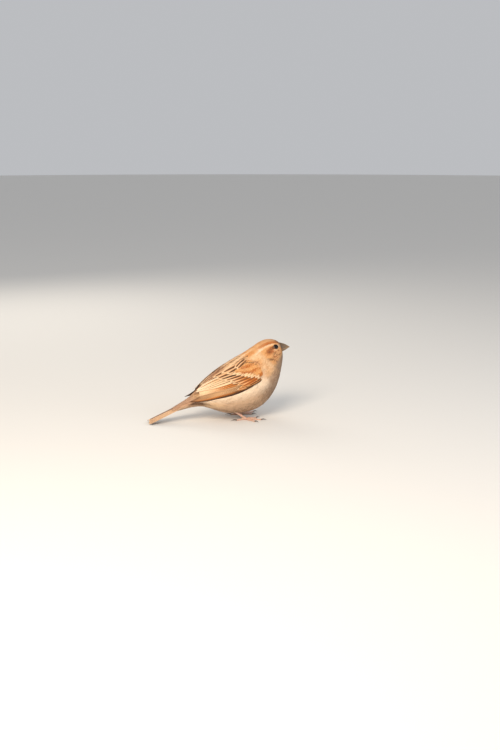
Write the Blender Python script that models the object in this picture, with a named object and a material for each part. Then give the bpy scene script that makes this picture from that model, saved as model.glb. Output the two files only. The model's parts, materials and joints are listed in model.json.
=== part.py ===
"""A female house sparrow at life size, crouched and alert on both feet, as a still display model.

The bird faces +X, its right side is -Y and the floor is Z = 0. Sizes below are in millimetres and
become metres where a mesh is made. The body is one smooth form given by stations from the bill's
root to the tail coverts; it is parted into head, neck, trunk and rump by thin gaps. A place on that
form is (u, angle): u counts stations from the front, and angle is measured in degrees from the
spine line, down the right side when negative and down the left side when positive.
"""

import math

import bmesh
import bpy
import numpy as np
from mathutils import Matrix, Vector

MM = 0.001
GAP = 0.3  # clearance between neighbouring pieces
SIDES = {"right": -1, "left": 1}

# ---------------------------------------------------------------- driving sizes (mm)
# Body stations: top x, top z, bottom x, bottom z, half width, how far the width sits low.
STATIONS = {
    "bill_root": (34.9, 67.4, 36.5, 58.6, 3.9, 0.02),
    "face": (33.3, 69.0, 36.8, 56.6, 6.4, 0.04),
    "forehead": (30.4, 70.5, 36.9, 54.4, 8.8, 0.06),
    "brow": (26.4, 71.3, 36.8, 51.8, 10.6, 0.09),
    "crown": (21.4, 71.2, 36.5, 48.6, 11.7, 0.12),
    "hind_crown": (15.4, 69.2, 36.0, 44.7, 12.4, 0.12),
    "nape": (8.7, 65.3, 35.1, 40.2, 13.4, 0.10),
    "neck": (1.4, 60.8, 33.6, 35.0, 15.6, 0.08),
    "shoulder": (-6.0, 56.8, 31.4, 29.3, 18.6, 0.06),
    "breast": (-13.4, 52.8, 28.0, 22.8, 20.3, 0.06),
    "back": (-20.4, 48.4, 23.0, 16.2, 21.1, 0.07),
    "belly": (-26.9, 43.8, 15.6, 10.2, 20.9, 0.08),
    "waist": (-32.9, 38.9, 6.0, 6.3, 19.6, 0.09),
    "vent": (-38.4, 33.8, -6.0, 5.0, 17.2, 0.10),
    "rump": (-43.3, 28.6, -17.5, 6.2, 14.0, 0.10),
    "tail_root": (-47.8, 24.1, -28.0, 9.8, 10.4, 0.06),
    "coverts": (-52.4, 20.6, -38.0, 13.2, 7.8, 0.0),
    "long_coverts": (-57.5, 17.6, -48.0, 13.0, 6.2, 0.0),
    "coverts_end": (-63.5, 14.2, -58.5, 11.0, 5.3, 0.0),
}
SPOKES = 28  # points round the body
RINGS_PER_STATION = 1.6

HEAD_TURN = 7.0  # degrees to the bird's left
NECK_AXIS_X = 14.0  # the upright line the head turns about

BILL_TIP = (45.5, 62.7)
BILL_GAPE_Z = (62.9, 62.9)  # height of the line between the mandibles, at the root and at the tip
BILL_DOWN_TURN = 1.5  # how far that line drops at the corner of the mouth

EYE_AT = (27.9, 65.9)
EYE_BALL = 3.2  # radius of the ball
EYE_OPENING = 2.1  # radius of the part that shows

TAIL_ROOT_AT = (-51.0, 18.3)
TAIL_TIP_AT = (-88.6, 2.0)
TAIL_HALF_WIDTH = (4.6, 6.6)
TAIL_NOTCH = 1.6  # how much shorter the middle feathers are
RECTRICES_PER_SIDE = 6

FOOT_AT = (0.0, 9.4)
ANKLE_AT = (-15.5, 10.4, 12.6)
TARSUS_RADIUS = 0.95
# Toes: compass direction from straight ahead towards the outer side, toe length, claw length.
TOES = {
    "hind": (172.0, 8.8, 5.6),
    "inner": (-14.0, 10.8, 4.0),
    "middle": (20.0, 14.4, 4.4),
    "outer": (56.0, 11.4, 3.8),
}
TOE_RADIUS = 0.95
FLAT_BELOW = 0.25  # toes and claws are cut flat this far up their round underside
HEEL_LENGTH = 4.4  # how much of the tarsus's lower end is made with the foot

# Wing: the lower edge of the folded wing, as station against degrees from the spine.
WING_EDGE = ((6.9, 89.0), (8.3, 98.0), (9.2, 94.5), (10.4, 84.0), (12.2, 72.0), (14.2, 63.0), (16.4, 58.5))
WING_FLARE_FROM = 13.0  # station from which the folded wing leaves the narrowing body
WING_FLARE = 3.3  # how far it has left at the wing's tip
WING_TIP_U = 16.4
WING_RAISE = 10.0  # degrees by which the tip of the left wing is carried higher
WING_BED = -0.9  # underside of the lowest feathers, measured from the body's surface
POCKET = WING_BED - 0.4  # floor of the hollow in the body that the wing lies in

# Each group of wing feathers: number of feathers; stations of its front end and of its tips, and
# degrees above the wing's lower edge at the front and at the tips, each for the group's lower and
# upper side; underside and top height at the lower and upper side; how rounded the tips are. A bow
# under 1 rounds the front end.
WING_GROUPS = {
    "primaries": dict(
        feathers=7, front=(9.6, 9.6), tips=(16.4, 14.5), low=(0.0, 0.0), high=(11.0, 17.0),
        under=-0.9, top=(0.3, 0.5), rounding=0.35, rows=6,
    ),
    "secondaries": dict(
        feathers=5, front=(9.6, 9.6), tips=(14.2, 13.7), low=(11.8, 17.8), high=(40.0, 38.0),
        under=-0.9, top=(0.5, 0.6), rounding=0.3, rows=5,
    ),
    "tertials": dict(
        feathers=3, front=(11.1, 11.25), tips=(13.3, 14.6), low=(27.0, 24.0), high=(46.0, 44.0),
        under=0.95, top=(1.7, 1.6), rounding=0.5, rows=6,
    ),
    "greater_coverts": dict(
        feathers=7, front=(9.25, 8.8), tips=(10.6, 11.1), low=(5.0, 5.5), high=(46.5, 46.0),
        under=0.95, top=(1.7, 1.8), rounding=0.3, rows=4,
    ),
    "alula": dict(
        feathers=3, front=(9.25, 9.25), tips=(10.9, 10.65), low=(0.0, 0.6), high=(4.2, 4.4),
        under=0.85, top=(1.4, 1.5), rounding=0.25, rows=4,
    ),
    "shoulder": dict(
        feathers=5, front=(8.2, 6.95), tips=(9.1, 8.65), low=(0.5, 0.5), high=(46.8, 46.5),
        under=-0.9, top=(1.6, 1.5), rounding=0.12, rows=5, bow=0.4,
    ),
    "scapulars": dict(
        feathers=4, front=(8.0, 7.6), tips=(11.2, 12.2), low=(47.8, 47.6), high=(72.0, 61.0),
        under=-0.9, top=(1.5, 0.7), rounding=0.3, rows=6,
    ),
}
COLUMN_GAP = 0.16  # width of the little wall where one feather steps down to the next
FEATHER_STEP = 0.22  # height of that wall

COLOURS = {
    "plumage_grey_buff": (0.50, 0.40, 0.30),
    "plumage_brown": (0.36, 0.24, 0.15),
    "plumage_pale": (0.66, 0.58, 0.48),
    "feather_brown": (0.28, 0.19, 0.12),
    "feather_rufous": (0.42, 0.26, 0.14),
    "bill_horn": (0.20, 0.16, 0.12),
    "eye": (0.03, 0.015, 0.01),
    "leg_skin": (0.55, 0.36, 0.27),
    "claw_horn": (0.12, 0.09, 0.07),
}
ROUGHNESS = {"eye": 0.08, "bill_horn": 0.4, "leg_skin": 0.55, "claw_horn": 0.4}


# ---------------------------------------------------------------- small helpers
def material(name):
    found = bpy.data.materials.get(name)
    if found:
        return found
    made = bpy.data.materials.new(name)
    made.use_nodes = True
    shader = made.node_tree.nodes["Principled BSDF"]
    shader.inputs["Base Color"].default_value = (*COLOURS[name], 1.0)
    shader.inputs["Roughness"].default_value = ROUGHNESS.get(name, 0.85)
    shader.inputs["Metallic"].default_value = 0.0
    made.diffuse_color = (*COLOURS[name], 1.0)
    return made


def smooth_step(value, low, high):
    t = min(max((value - low) / (high - low), 0.0), 1.0)
    return t * t * (3 - 2 * t)


def mix(a, b, t):
    return a + (b - a) * t


def through_points(table, t):
    """A smooth curve (Catmull-Rom) through the rows of table; t counts rows."""
    last = len(table) - 1
    i = min(int(t), last - 1)
    f = t - i
    before = table[i - 1] if i > 0 else 2 * table[0] - table[1]
    after = table[i + 2] if i + 2 <= last else 2 * table[last] - table[last - 1]
    a, b = table[i], table[i + 1]
    return 0.5 * (
        2 * a + (b - before) * f + (2 * before - 5 * a + 4 * b - after) * f**2
        + (3 * a - before - 3 * b + after) * f**3
    )


def make_object(name, bm, colour, sharp=35.0):
    """The bmesh, in millimetres, as a named object in metres with its faces outwards."""
    bmesh.ops.recalc_face_normals(bm, faces=bm.faces)
    bm.transform(Matrix.Scale(MM, 4))
    mesh = bpy.data.meshes.new(name)
    bm.to_mesh(mesh)
    bm.free()
    mesh.shade_smooth()
    mesh.set_sharp_from_angle(angle=math.radians(sharp))
    mesh.materials.append(material(colour))
    made = bpy.data.objects.new(name, mesh)
    bpy.context.scene.collection.objects.link(made)
    return made


def tube(rings):
    """A closed bmesh through rings of equally many points, with flat ends."""
    bm = bmesh.new()
    loops = [[bm.verts.new(p) for p in ring] for ring in rings]
    count = len(loops[0])
    for first, second in zip(loops, loops[1:]):
        for i in range(count):
            j = (i + 1) % count
            bm.faces.new((first[i], first[j], second[j], second[i]))
    bm.faces.new(loops[0])
    bm.faces.new(loops[-1])
    return bm


def slab(under, top):
    """A closed bmesh between two grids of points, given row by row, joined round their rims."""
    bm = bmesh.new()
    low = [[bm.verts.new(p) for p in row] for row in under]
    high = [[bm.verts.new(p) for p in row] for row in top]
    rows, columns = len(low), len(low[0])
    for r in range(rows - 1):
        for c in range(columns - 1):
            for grid in (low, high):
                bm.faces.new((grid[r][c], grid[r][c + 1], grid[r + 1][c + 1], grid[r + 1][c]))
    rim = [(0, c) for c in range(columns)] + [(r, columns - 1) for r in range(1, rows)]
    rim += [(rows - 1, c) for c in range(columns - 2, -1, -1)] + [(r, 0) for r in range(rows - 2, 0, -1)]
    for (r0, c0), (r1, c1) in zip(rim, rim[1:] + rim[:1]):
        bm.faces.new((low[r0][c0], low[r1][c1], high[r1][c1], high[r0][c0]))
    return bm


def as_helper(obj):
    obj.hide_render = True
    obj.display_type = "WIRE"
    return obj


def boolean(obj, other, operation="DIFFERENCE"):
    modifier = obj.modifiers.new(f"{operation.lower()}_{other.name}", "BOOLEAN")
    modifier.operation = operation
    modifier.solver = "EXACT"
    modifier.object = other
    return modifier


# ---------------------------------------------------------------- the body's form
NAMES = list(STATIONS)
TABLE = np.array([STATIONS[name] for name in NAMES], float)


def station(name):
    return float(NAMES.index(name))


def body_point(u, angle):
    """A point of the body's surface, in millimetres."""
    top_x, top_z, low_x, low_z, half_width, low_set = through_points(TABLE, u)
    a = math.radians(angle)
    along = math.cos(a)
    x = (top_x + low_x) / 2 + (top_x - low_x) / 2 * along
    z = (top_z + low_z) / 2 + (top_z - low_z) / 2 * along
    y = half_width * math.sin(a) * (1 - low_set * along)
    turn = math.radians(HEAD_TURN) * (1 - smooth_step(u, station("hind_crown"), station("shoulder")))
    dx = x - NECK_AXIS_X
    return Vector(
        (NECK_AXIS_X + dx * math.cos(turn) - y * math.sin(turn), dx * math.sin(turn) + y * math.cos(turn), z)
    )


def body_normal(u, angle):
    step_u, step_angle = 0.05, 1.0
    low = max(u - step_u, 0.0)
    high = min(u + step_u, len(NAMES) - 1.0)
    lengthways = body_point(high, angle) - body_point(low, angle)
    around = body_point(u, angle + step_angle) - body_point(u, angle - step_angle)
    return lengthways.cross(around).normalized() * -1


def raised(u, angle, height):
    return body_point(u, angle) + body_normal(u, angle) * height


def head_turned(point):
    """A point of the straight head, moved as the turned head moves it."""
    pivot = Vector((NECK_AXIS_X, 0, 0))
    return Matrix.Rotation(math.radians(HEAD_TURN), 3, "Z") @ (Vector(point) - pivot) + pivot


def body_rings(u_from, u_to):
    count = max(2, round((u_to - u_from) * RINGS_PER_STATION) + 1)
    return [
        [body_point(u, 360 * i / SPOKES) for i in range(SPOKES)]
        for u in np.linspace(u_from, u_to, count)
    ]


def make_body():
    """Head, neck, trunk and rump: lengths of the one form, with a thin gap between them."""
    gap_u = GAP / 2 / 7.5  # stations are about 7.5 mm apart
    parts = (
        ("head", 0.0, station("hind_crown"), "plumage_brown"),
        ("neck", station("hind_crown"), station("neck") - 0.35, "plumage_grey_buff"),
        ("trunk", station("neck") - 0.35, station("rump"), "plumage_pale"),
        ("rump", station("rump"), station("coverts_end"), "plumage_grey_buff"),
    )
    made = {}
    for name, u_from, u_to, colour in parts:
        first = u_from if name == "head" else u_from + gap_u
        last = u_to if name == "rump" else u_to - gap_u
        made[name] = make_object(name, tube(body_rings(first, last)), colour)
    return made


# ---------------------------------------------------------------- bill and eyes
def mandible_ring(t, upper):
    """One section of a mandible, t from its root to its tip: an arch closed by the flat gape."""
    root_top = Vector(STATIONS["bill_root"][0:2])
    root_low = Vector(STATIONS["bill_root"][2:4])
    tip = Vector(BILL_TIP)
    gape = mix(BILL_GAPE_Z[0], BILL_GAPE_Z[1], t) - BILL_DOWN_TURN * (1 - smooth_step(t, 0.0, 0.45))
    reach = t if upper else t * 0.93
    edge = mix(root_top, tip, reach) if upper else mix(root_low, tip, reach)
    swell = math.sin(math.pi * reach) * (0.75 if upper else -0.35)
    edge_z = edge.y + swell
    half_width = max(3.75 * (1 - reach) ** 0.85, 0.28) * (1.0 if upper else 0.94)
    gape += GAP / 2 if upper else -GAP / 2
    height = edge_z - gape
    if upper:
        height = max(height, 0.35)
    else:
        height = min(height, -0.3)
    root_x = mix(root_top.x, root_low.x, (root_top.y - gape) / (root_top.y - root_low.y))
    gape_x = mix(root_x, tip.x, reach)
    sections = 8
    points = []
    for i in range(sections + 1):
        a = math.pi * i / sections
        rise = math.sin(a)
        points.append((mix(gape_x, edge.x, rise), half_width * math.cos(a), gape + height * rise))
    return [head_turned((x + GAP, y, z)) for x, y, z in points]


def make_bill():
    for name, upper in (("bill_upper", True), ("bill_lower", False)):
        rings = [mandible_ring(t, upper) for t in (0, 0.12, 0.26, 0.42, 0.58, 0.74, 0.88, 1.0)]
        make_object(name, tube(rings), "bill_horn", sharp=50.0)


def eye_centre(side):
    """The middle of the eyeball: its cap stands out of the face as far as the opening allows."""
    places = ((u, angle) for u in np.linspace(1.0, 5.0, 81) for angle in np.linspace(20, 110, 91))
    u, angle = min(places, key=lambda place: off_eye(straight_head(*place)))
    lengthways = straight_head(u + 0.05, angle) - straight_head(u - 0.05, angle)
    around = straight_head(u, angle + 1) - straight_head(u, angle - 1)
    outwards = around.cross(lengthways).normalized()
    depth = math.sqrt(EYE_BALL**2 - EYE_OPENING**2) - 0.15
    centre = straight_head(u, angle) - outwards * depth
    return head_turned((centre.x, side * centre.y, centre.z))


def off_eye(point):
    return math.hypot(point.x - EYE_AT[0], point.z - EYE_AT[1])


def straight_head(u, angle):
    """A point of the head as it is before the head is turned."""
    top_x, top_z, low_x, low_z, half_width, low_set = through_points(TABLE, u)
    along = math.cos(math.radians(angle))
    return Vector((
        (top_x + low_x) / 2 + (top_x - low_x) / 2 * along,
        half_width * math.sin(math.radians(angle)) * (1 - low_set * along),
        (top_z + low_z) / 2 + (top_z - low_z) / 2 * along,
    ))


def ball(centre, radius, segments=12, rings=8):
    bm = bmesh.new()
    bmesh.ops.create_uvsphere(bm, u_segments=segments, v_segments=rings, radius=radius)
    bmesh.ops.rotate(bm, verts=bm.verts, matrix=Matrix.Rotation(math.pi / 2, 3, "X"))
    bmesh.ops.translate(bm, verts=bm.verts, vec=centre)
    return bm


def make_eyes(head):
    for side_name, side in SIDES.items():
        centre = eye_centre(side)
        make_object(f"eye_{side_name}", ball(centre, EYE_BALL), "eye", sharp=80.0)
        socket = make_object(f"socket_{side_name}", ball(centre, EYE_BALL + GAP), "eye")
        boolean(head, as_helper(socket))


# ---------------------------------------------------------------- wings
EDGE_TABLE = np.array(WING_EDGE, float)


def wing_edge_angle(u):
    """Degrees from the spine of the folded wing's lower edge."""
    rows = np.interp(u, EDGE_TABLE[:, 0], np.arange(len(EDGE_TABLE)))
    return float(through_points(EDGE_TABLE, rows)[1])


def wing_point(u, above_edge, height, side):
    """A point of the folded wing: station, degrees above the lower edge, height over the body."""
    flare = WING_FLARE * smooth_step(u, WING_FLARE_FROM, WING_TIP_U)
    angle = wing_edge_angle(u) - above_edge
    if side == SIDES["left"]:
        angle -= WING_RAISE * smooth_step(u, 9.0, 13.0)
    return raised(u, side * angle, height + flare)


def feather_columns(feathers):
    """(place across the group, place across its own feather) for each column of points."""
    columns = []
    for i in range(feathers):
        for c in (0.0, 0.5, 1.0):
            columns.append(((i + c) / feathers, c, i))
    return columns


def group_grids(spec, side):
    """The underside and top of one group of overlapping feathers, as grids of points."""
    under, top = [], []
    columns = feather_columns(spec["feathers"])
    for r in range(spec["rows"]):
        a = r / (spec["rows"] - 1)
        low_row, high_row = [], []
        for b, c, i in columns:
            centre_b = (i + 0.5) / spec["feathers"]
            blunt = spec["rounding"] * abs(2 * c - 1) ** 2.5
            u_tip = mix(*spec["tips"], centre_b) - blunt
            u = mix(mix(*spec["front"], b ** spec.get("bow", 1.0)), u_tip, a)
            above = mix(mix(*spec["low"], a), mix(*spec["high"], a), b)
            inset = COLUMN_GAP / 2 * (1 if c == 0.0 else -1 if c == 1.0 else 0)
            if (b, c) in ((0.0, 0.0), (1.0, 1.0)):
                inset = 0.0
            above += inset * 3.0  # a degree is about a third of a millimetre here
            height = mix(*spec["top"], b) - FEATHER_STEP * (c - 0.5)
            low_row.append(wing_point(u, above, spec["under"], side))
            high_row.append(wing_point(u, above, height, side))
        under.append(low_row)
        top.append(high_row)
    return under, top


def make_wing_pocket(side_name, side):
    """A cutter for the shallow hollow in the body's side where the wing lies."""
    outer = 7.0
    margin = 1.5  # degrees
    under, top = [], []
    for u in np.linspace(6.88, station("coverts_end") + 0.4, 19):
        low = wing_pocket_low(u) - margin
        spread = [mix(low, wing_pocket_height(u) + margin, k / 8) for k in range(9)]
        u_in = min(u, station("coverts_end") - 0.01)
        beyond = Vector((-(u - u_in) * 8.0, 0, -(u - u_in) * 4.0))
        under.append([wing_point(u_in, v, POCKET, side) + beyond for v in spread])
        top.append([wing_point(u_in, v, outer, side) + beyond for v in spread])
    return as_helper(make_object(f"pocket_{side_name}", slab(under, top), "feather_brown"))


def wing_pocket_low(u):
    """Degrees above the lower edge at which the hollow starts: it rounds the wing's front."""
    front_low, front_high = WING_GROUPS["shoulder"]["front"]
    share = max(front_low - 0.1 - u, 0.0) / (front_low - front_high)
    return WING_GROUPS["shoulder"]["high"][0] * min(share, 1.0) ** (1 / WING_GROUPS["shoulder"]["bow"])


def wing_pocket_height(u):
    """Degrees above the lower edge to which the hollow reaches: to the scapulars, then the tertials."""
    return float(np.interp(u, (7.3, 7.5, 9.0, 12.3, 12.5, 18.5), (47.5, 72.0, 68.5, 61.2, 46.5, 44.0)))


def make_wings(body):
    colours = {
        "primaries": "feather_brown", "secondaries": "feather_rufous", "tertials": "feather_brown",
        "greater_coverts": "feather_rufous", "alula": "feather_brown", "shoulder": "plumage_brown",
        "scapulars": "plumage_brown",
    }
    for side_name, side in SIDES.items():
        for group, spec in WING_GROUPS.items():
            name = f"wing_{side_name}_{group}"
            make_object(name, slab(*group_grids(spec, side)), colours[group], sharp=25.0)
        pocket = make_wing_pocket(side_name, side)
        for part in ("neck", "trunk", "rump"):
            boolean(body[part], pocket)


# ---------------------------------------------------------------- tail
def tail_grids(rows=4, grow=0.0, within_feather=(0.0, 0.55, 1.0)):
    """The tail as a low roof of overlapping feathers: middle pair on top, outer ones lower."""
    root, tip = Vector(TAIL_ROOT_AT), Vector(TAIL_TIP_AT)
    line = tip - root
    up = Vector((-line.y, line.x)).normalized() * (-1 if line.x < 0 else 1)
    edges = []
    for i in range(RECTRICES_PER_SIDE):
        edges += [(i + local, i) for local in within_feather]
    columns = [(-place, i) for place, i in reversed(edges)] + [(place, i) for place, i in edges[1:]]
    under, top = [], []
    for r in range(rows):
        a = r / (rows - 1)
        low_row, high_row = [], []
        for place, i in columns:
            share = place / RECTRICES_PER_SIDE
            visible = math.copysign(abs(share) ** 0.62, share)  # outer feathers show only as strips
            local = abs(place) - i
            length = 1 - TAIL_NOTCH / line.length * (1 - (i / (RECTRICES_PER_SIDE - 1)) ** 1.5)
            blunt = 0.035 * local**2.5
            at = a * (length - blunt)
            half = mix(*TAIL_HALF_WIDTH, smooth_step(at, 0.0, 1.1)) + grow
            inset = -math.copysign(COLUMN_GAP / 2, place) if local == 1.0 and abs(share) < 1 else 0.0
            sag = 1.5 * share * share  # the outer feathers hang a little lower
            lift = 0.16 * (RECTRICES_PER_SIDE - 1 - i) * 0.6 + 0.1 * (1 - local)
            centre = root + line * at
            y = visible * half + inset
            high = centre + up * (0.55 - sag + lift + grow)
            low = centre + up * (-0.35 - sag - grow)
            high_row.append(Vector((high.x, y, high.y)))
            low_row.append(Vector((low.x, y, low.y)))
        under.append(low_row)
        top.append(high_row)
    return under, top


def make_tail(rump):
    make_object("tail", slab(*tail_grids()), "feather_brown", sharp=25.0)
    socket = slab(*tail_grids(rows=4, grow=GAP, within_feather=(0.0, 1.0)))
    cutter = make_object("tail_socket", socket, "feather_brown")
    boolean(rump, as_helper(cutter))


# ---------------------------------------------------------------- legs and feet
def path_rings(points, radii, sides=6, flat=True):
    """Round sections along a path. With flat, what would be under the floor is pressed flat."""
    rings = []
    for i, (point, radius) in enumerate(zip(points, radii)):
        before, after = points[max(i - 1, 0)], points[min(i + 1, len(points) - 1)]
        along = (after - before).normalized()
        side = along.cross(Vector((0, 0, 1))).normalized()
        up = side.cross(along)
        ring = []
        for k in range(sides):
            a = 2 * math.pi * (k + 0.5) / sides
            place = point + (side * math.cos(a) + up * math.sin(a)) * radius
            if flat:
                place.z = max(place.z, 0.0)
            ring.append(place)
        rings.append(ring)
    return rings


def toe_direction(compass, side):
    a = math.radians(compass)
    return Vector((math.cos(a), side * math.sin(a), 0))


def toe_path(compass, length, side):
    """The toe's middle line: down from the sole pad, then along the floor."""
    start = Vector((FOOT_AT[0], side * FOOT_AT[1], 1.15))
    direction = toe_direction(compass, side)
    points, radii = [], []
    knuckles = 2
    for i in range(7):
        t = i / 6
        pad = 0.12 * math.cos(2 * math.pi * knuckles * t)
        radius = TOE_RADIUS * mix(1.05, 0.72, t) + pad * mix(1, 0.6, t)
        arch = 0.55 * math.sin(math.pi * min(t * 1.6, 1.0)) * (1 - t)
        points.append(start * 1.0 + direction * (length * t) + Vector((0, 0, radius - FLAT_BELOW - 1.15 + arch)))
        radii.append(radius)
    return points, radii


def claw_path(compass, toe_length, claw_length, side):
    start = Vector((FOOT_AT[0], side * FOOT_AT[1], 0)) + toe_direction(compass, side) * (toe_length + GAP)
    direction = toe_direction(compass, side)
    points, radii = [], []
    for i in range(5):
        t = i / 4
        radius = mix(0.62, 0.16, t**1.2)
        height = 0.55 + 0.75 * math.sin(math.pi * t * 0.95) - 0.42 * t
        points.append(start + direction * claw_length * t + Vector((0, 0, max(height, radius - 0.04))))
        radii.append(radius)
    return points, radii


def tarsus_line(side):
    """Where the tarsus starts over the toes, and its direction up to the ankle."""
    foot = Vector((FOOT_AT[0], side * FOOT_AT[1], 1.0))
    ankle = Vector((ANKLE_AT[0], side * ANKLE_AT[1], ANKLE_AT[2]))
    return foot, (ankle - foot).normalized()


def make_foot(side_name, side):
    pad_centre = Vector((FOOT_AT[0], side * FOOT_AT[1], 1.0))
    bm = ball(pad_centre, 1.45, segments=8, rings=6)
    for vert in bm.verts:
        vert.co.z = max(vert.co.z, 0.0)
    foot = make_object(f"foot_{side_name}", bm, "leg_skin", sharp=60.0)
    heel, along = tarsus_line(side)
    points = [heel + along * HEEL_LENGTH * i / 3 for i in range(4)]
    stub = tube(path_rings(points, [TARSUS_RADIUS * 1.1] * 4, flat=False))
    boolean(foot, as_helper(make_object(f"heel_{side_name}", stub, "leg_skin")), "UNION")
    for toe, (compass, toe_length, claw_length) in TOES.items():
        digit = tube(path_rings(*toe_path(compass, toe_length, side)))
        helper = make_object(f"toe_{side_name}_{toe}", digit, "leg_skin")
        boolean(foot, as_helper(helper), "UNION")
        claw = tube(path_rings(*claw_path(compass, toe_length, claw_length, side), sides=5))
        make_object(f"claw_{side_name}_{toe}", claw, "claw_horn")
    return foot


def make_leg(side_name, side, trunk_form):
    """The scaly tarsus, from the toes up to where it enters the belly plumage."""
    foot, along = tarsus_line(side)
    ankle = Vector((ANKLE_AT[0], side * ANKLE_AT[1], ANKLE_AT[2]))
    start = foot + along * (HEEL_LENGTH + GAP)
    count = 7
    points = [mix(start, ankle, i / (count - 1)) for i in range(count)]
    radii = [TARSUS_RADIUS * mix(1.08, 1.2, abs(2 * i / (count - 1) - 1) ** 2) - 0.08 for i in range(count)]
    leg = make_object(f"leg_{side_name}", tube(path_rings(points, radii, flat=False)), "leg_skin")
    boolean(leg, trunk_form)


def make_legs():
    """Feet and tarsi. The tarsus is cut where the belly begins, a gap below its surface."""
    rings = [
        [raised(u, 360 * i / SPOKES, GAP) for i in range(SPOKES)]
        for u in np.linspace(station("shoulder"), station("rump") + 0.5, 15)
    ]
    trunk_form = as_helper(make_object("belly_form", tube(rings), "plumage_pale"))
    for side_name, side in SIDES.items():
        make_foot(side_name, side)
        make_leg(side_name, side, trunk_form)


# ---------------------------------------------------------------- putting it together
def centre_on_origin():
    """Moves all of it so that its box is centred over the origin, with the floor at zero."""
    bpy.context.view_layer.update()
    graph = bpy.context.evaluated_depsgraph_get()
    corners = []
    for obj in bpy.data.objects:
        if not obj.hide_render:
            shown = obj.evaluated_get(graph)
            corners += [shown.matrix_world @ Vector(corner) for corner in shown.bound_box]
    low = Vector(min(c[k] for c in corners) for k in range(3))
    high = Vector(max(c[k] for c in corners) for k in range(3))
    shift = Vector((-(low.x + high.x) / 2, -(low.y + high.y) / 2, -low.z))
    for obj in bpy.data.objects:
        obj.location += shift
    bpy.context.view_layer.update()


def main():
    for obj in list(bpy.data.objects):
        bpy.data.objects.remove(obj, do_unlink=True)
    body = make_body()
    make_bill()
    make_eyes(body["head"])
    make_wings(body)
    make_tail(body["rump"])
    make_legs()
    centre_on_origin()


main()
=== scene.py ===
"""Dresses the solid model of a female house sparrow in skin, feathers, eyes, bill and scaly feet.

Lengths are in millimetres inside this file, measured from the floor midway between the feet, and
become metres where a mesh is made. A place on the body is (u, angle): u counts body stations from
the bill's root to the end of the tail coverts, and angle is in degrees from the spine line, negative
down the right side and positive down the left. Every feather is a thin closed vane that is laid on
the body in those coordinates, root first, so it follows the form and points down the coat's lie.
"""

import json
import math
import random

import bmesh
import bpy
import numpy as np
from mathutils import Color, Matrix, Vector, noise


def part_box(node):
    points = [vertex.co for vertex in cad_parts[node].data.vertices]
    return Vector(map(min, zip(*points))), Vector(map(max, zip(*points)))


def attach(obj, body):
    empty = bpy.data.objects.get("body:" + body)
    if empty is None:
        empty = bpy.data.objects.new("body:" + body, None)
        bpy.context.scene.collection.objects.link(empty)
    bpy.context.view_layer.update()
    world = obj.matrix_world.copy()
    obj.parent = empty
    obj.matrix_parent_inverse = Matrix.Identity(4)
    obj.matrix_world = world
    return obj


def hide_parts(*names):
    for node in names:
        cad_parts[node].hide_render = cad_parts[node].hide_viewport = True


bl_info = {
    "name": "House Sparrow Dresser",
    "version": (1, 0, 0),
    "blender": (4, 5, 0),
    "location": "View3D > Sidebar > Sparrow",
    "description": "Builds the plumage, skin, eyes, bill and feet of a house sparrow model",
    "category": "Object",
}

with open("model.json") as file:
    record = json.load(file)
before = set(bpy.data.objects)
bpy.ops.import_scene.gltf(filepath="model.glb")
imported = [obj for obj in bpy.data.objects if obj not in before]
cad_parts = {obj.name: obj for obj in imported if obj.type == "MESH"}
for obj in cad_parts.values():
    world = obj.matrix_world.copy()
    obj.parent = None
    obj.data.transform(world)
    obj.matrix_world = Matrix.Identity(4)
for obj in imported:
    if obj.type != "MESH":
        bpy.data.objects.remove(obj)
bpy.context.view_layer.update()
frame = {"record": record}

MM = 0.001
SIDES = {"right": -1, "left": 1}
FEET = [Vector(mount["pos_m"]) for mount in frame["record"]["mounts"]]
ORIGIN = (FEET[0] + FEET[1]) / 2  # the floor midway between the feet, in metres
FOOT_Y = abs(FEET[1].y - FEET[0].y) / 2 / MM

# ---------------------------------------------------------------- the body's form (mm)
# Body stations: top x, top z, bottom x, bottom z, half width, how far the width sits low.
STATIONS = {
    "bill_root": (34.9, 67.4, 36.5, 58.6, 3.9, 0.02),
    "face": (33.3, 69.0, 36.8, 56.6, 6.4, 0.04),
    "forehead": (30.4, 70.5, 36.9, 54.4, 8.8, 0.06),
    "brow": (26.4, 71.3, 36.8, 51.8, 10.6, 0.09),
    "crown": (21.4, 71.2, 36.5, 48.6, 11.7, 0.12),
    "hind_crown": (15.4, 69.2, 36.0, 44.7, 12.4, 0.12),
    "nape": (8.7, 65.3, 35.1, 40.2, 13.4, 0.10),
    "neck": (1.4, 60.8, 33.6, 35.0, 15.6, 0.08),
    "shoulder": (-6.0, 56.8, 31.4, 29.3, 18.6, 0.06),
    "breast": (-13.4, 52.8, 28.0, 22.8, 20.3, 0.06),
    "back": (-20.4, 48.4, 23.0, 16.2, 21.1, 0.07),
    "belly": (-26.9, 43.8, 15.6, 10.2, 20.9, 0.08),
    "waist": (-32.9, 38.9, 6.0, 6.3, 19.6, 0.09),
    "vent": (-38.4, 33.8, -6.0, 5.0, 17.2, 0.10),
    "rump": (-43.3, 28.6, -17.5, 6.2, 14.0, 0.10),
    "tail_root": (-47.8, 24.1, -28.0, 9.8, 10.4, 0.06),
    "coverts": (-52.4, 20.6, -38.0, 13.2, 7.8, 0.0),
    "long_coverts": (-57.5, 17.6, -48.0, 13.0, 6.2, 0.0),
    "coverts_end": (-63.5, 14.2, -58.5, 11.0, 5.3, 0.0),
}
TABLE = np.array(list(STATIONS.values()), float)
LAST_U = len(TABLE) - 1.0
HEAD_TURN = 7.0  # degrees to the bird's left
NECK_AXIS_X = 14.0  # the upright line the head turns about
TURN_FADES = (5.0, 8.0)  # stations between which the turn fades out

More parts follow.
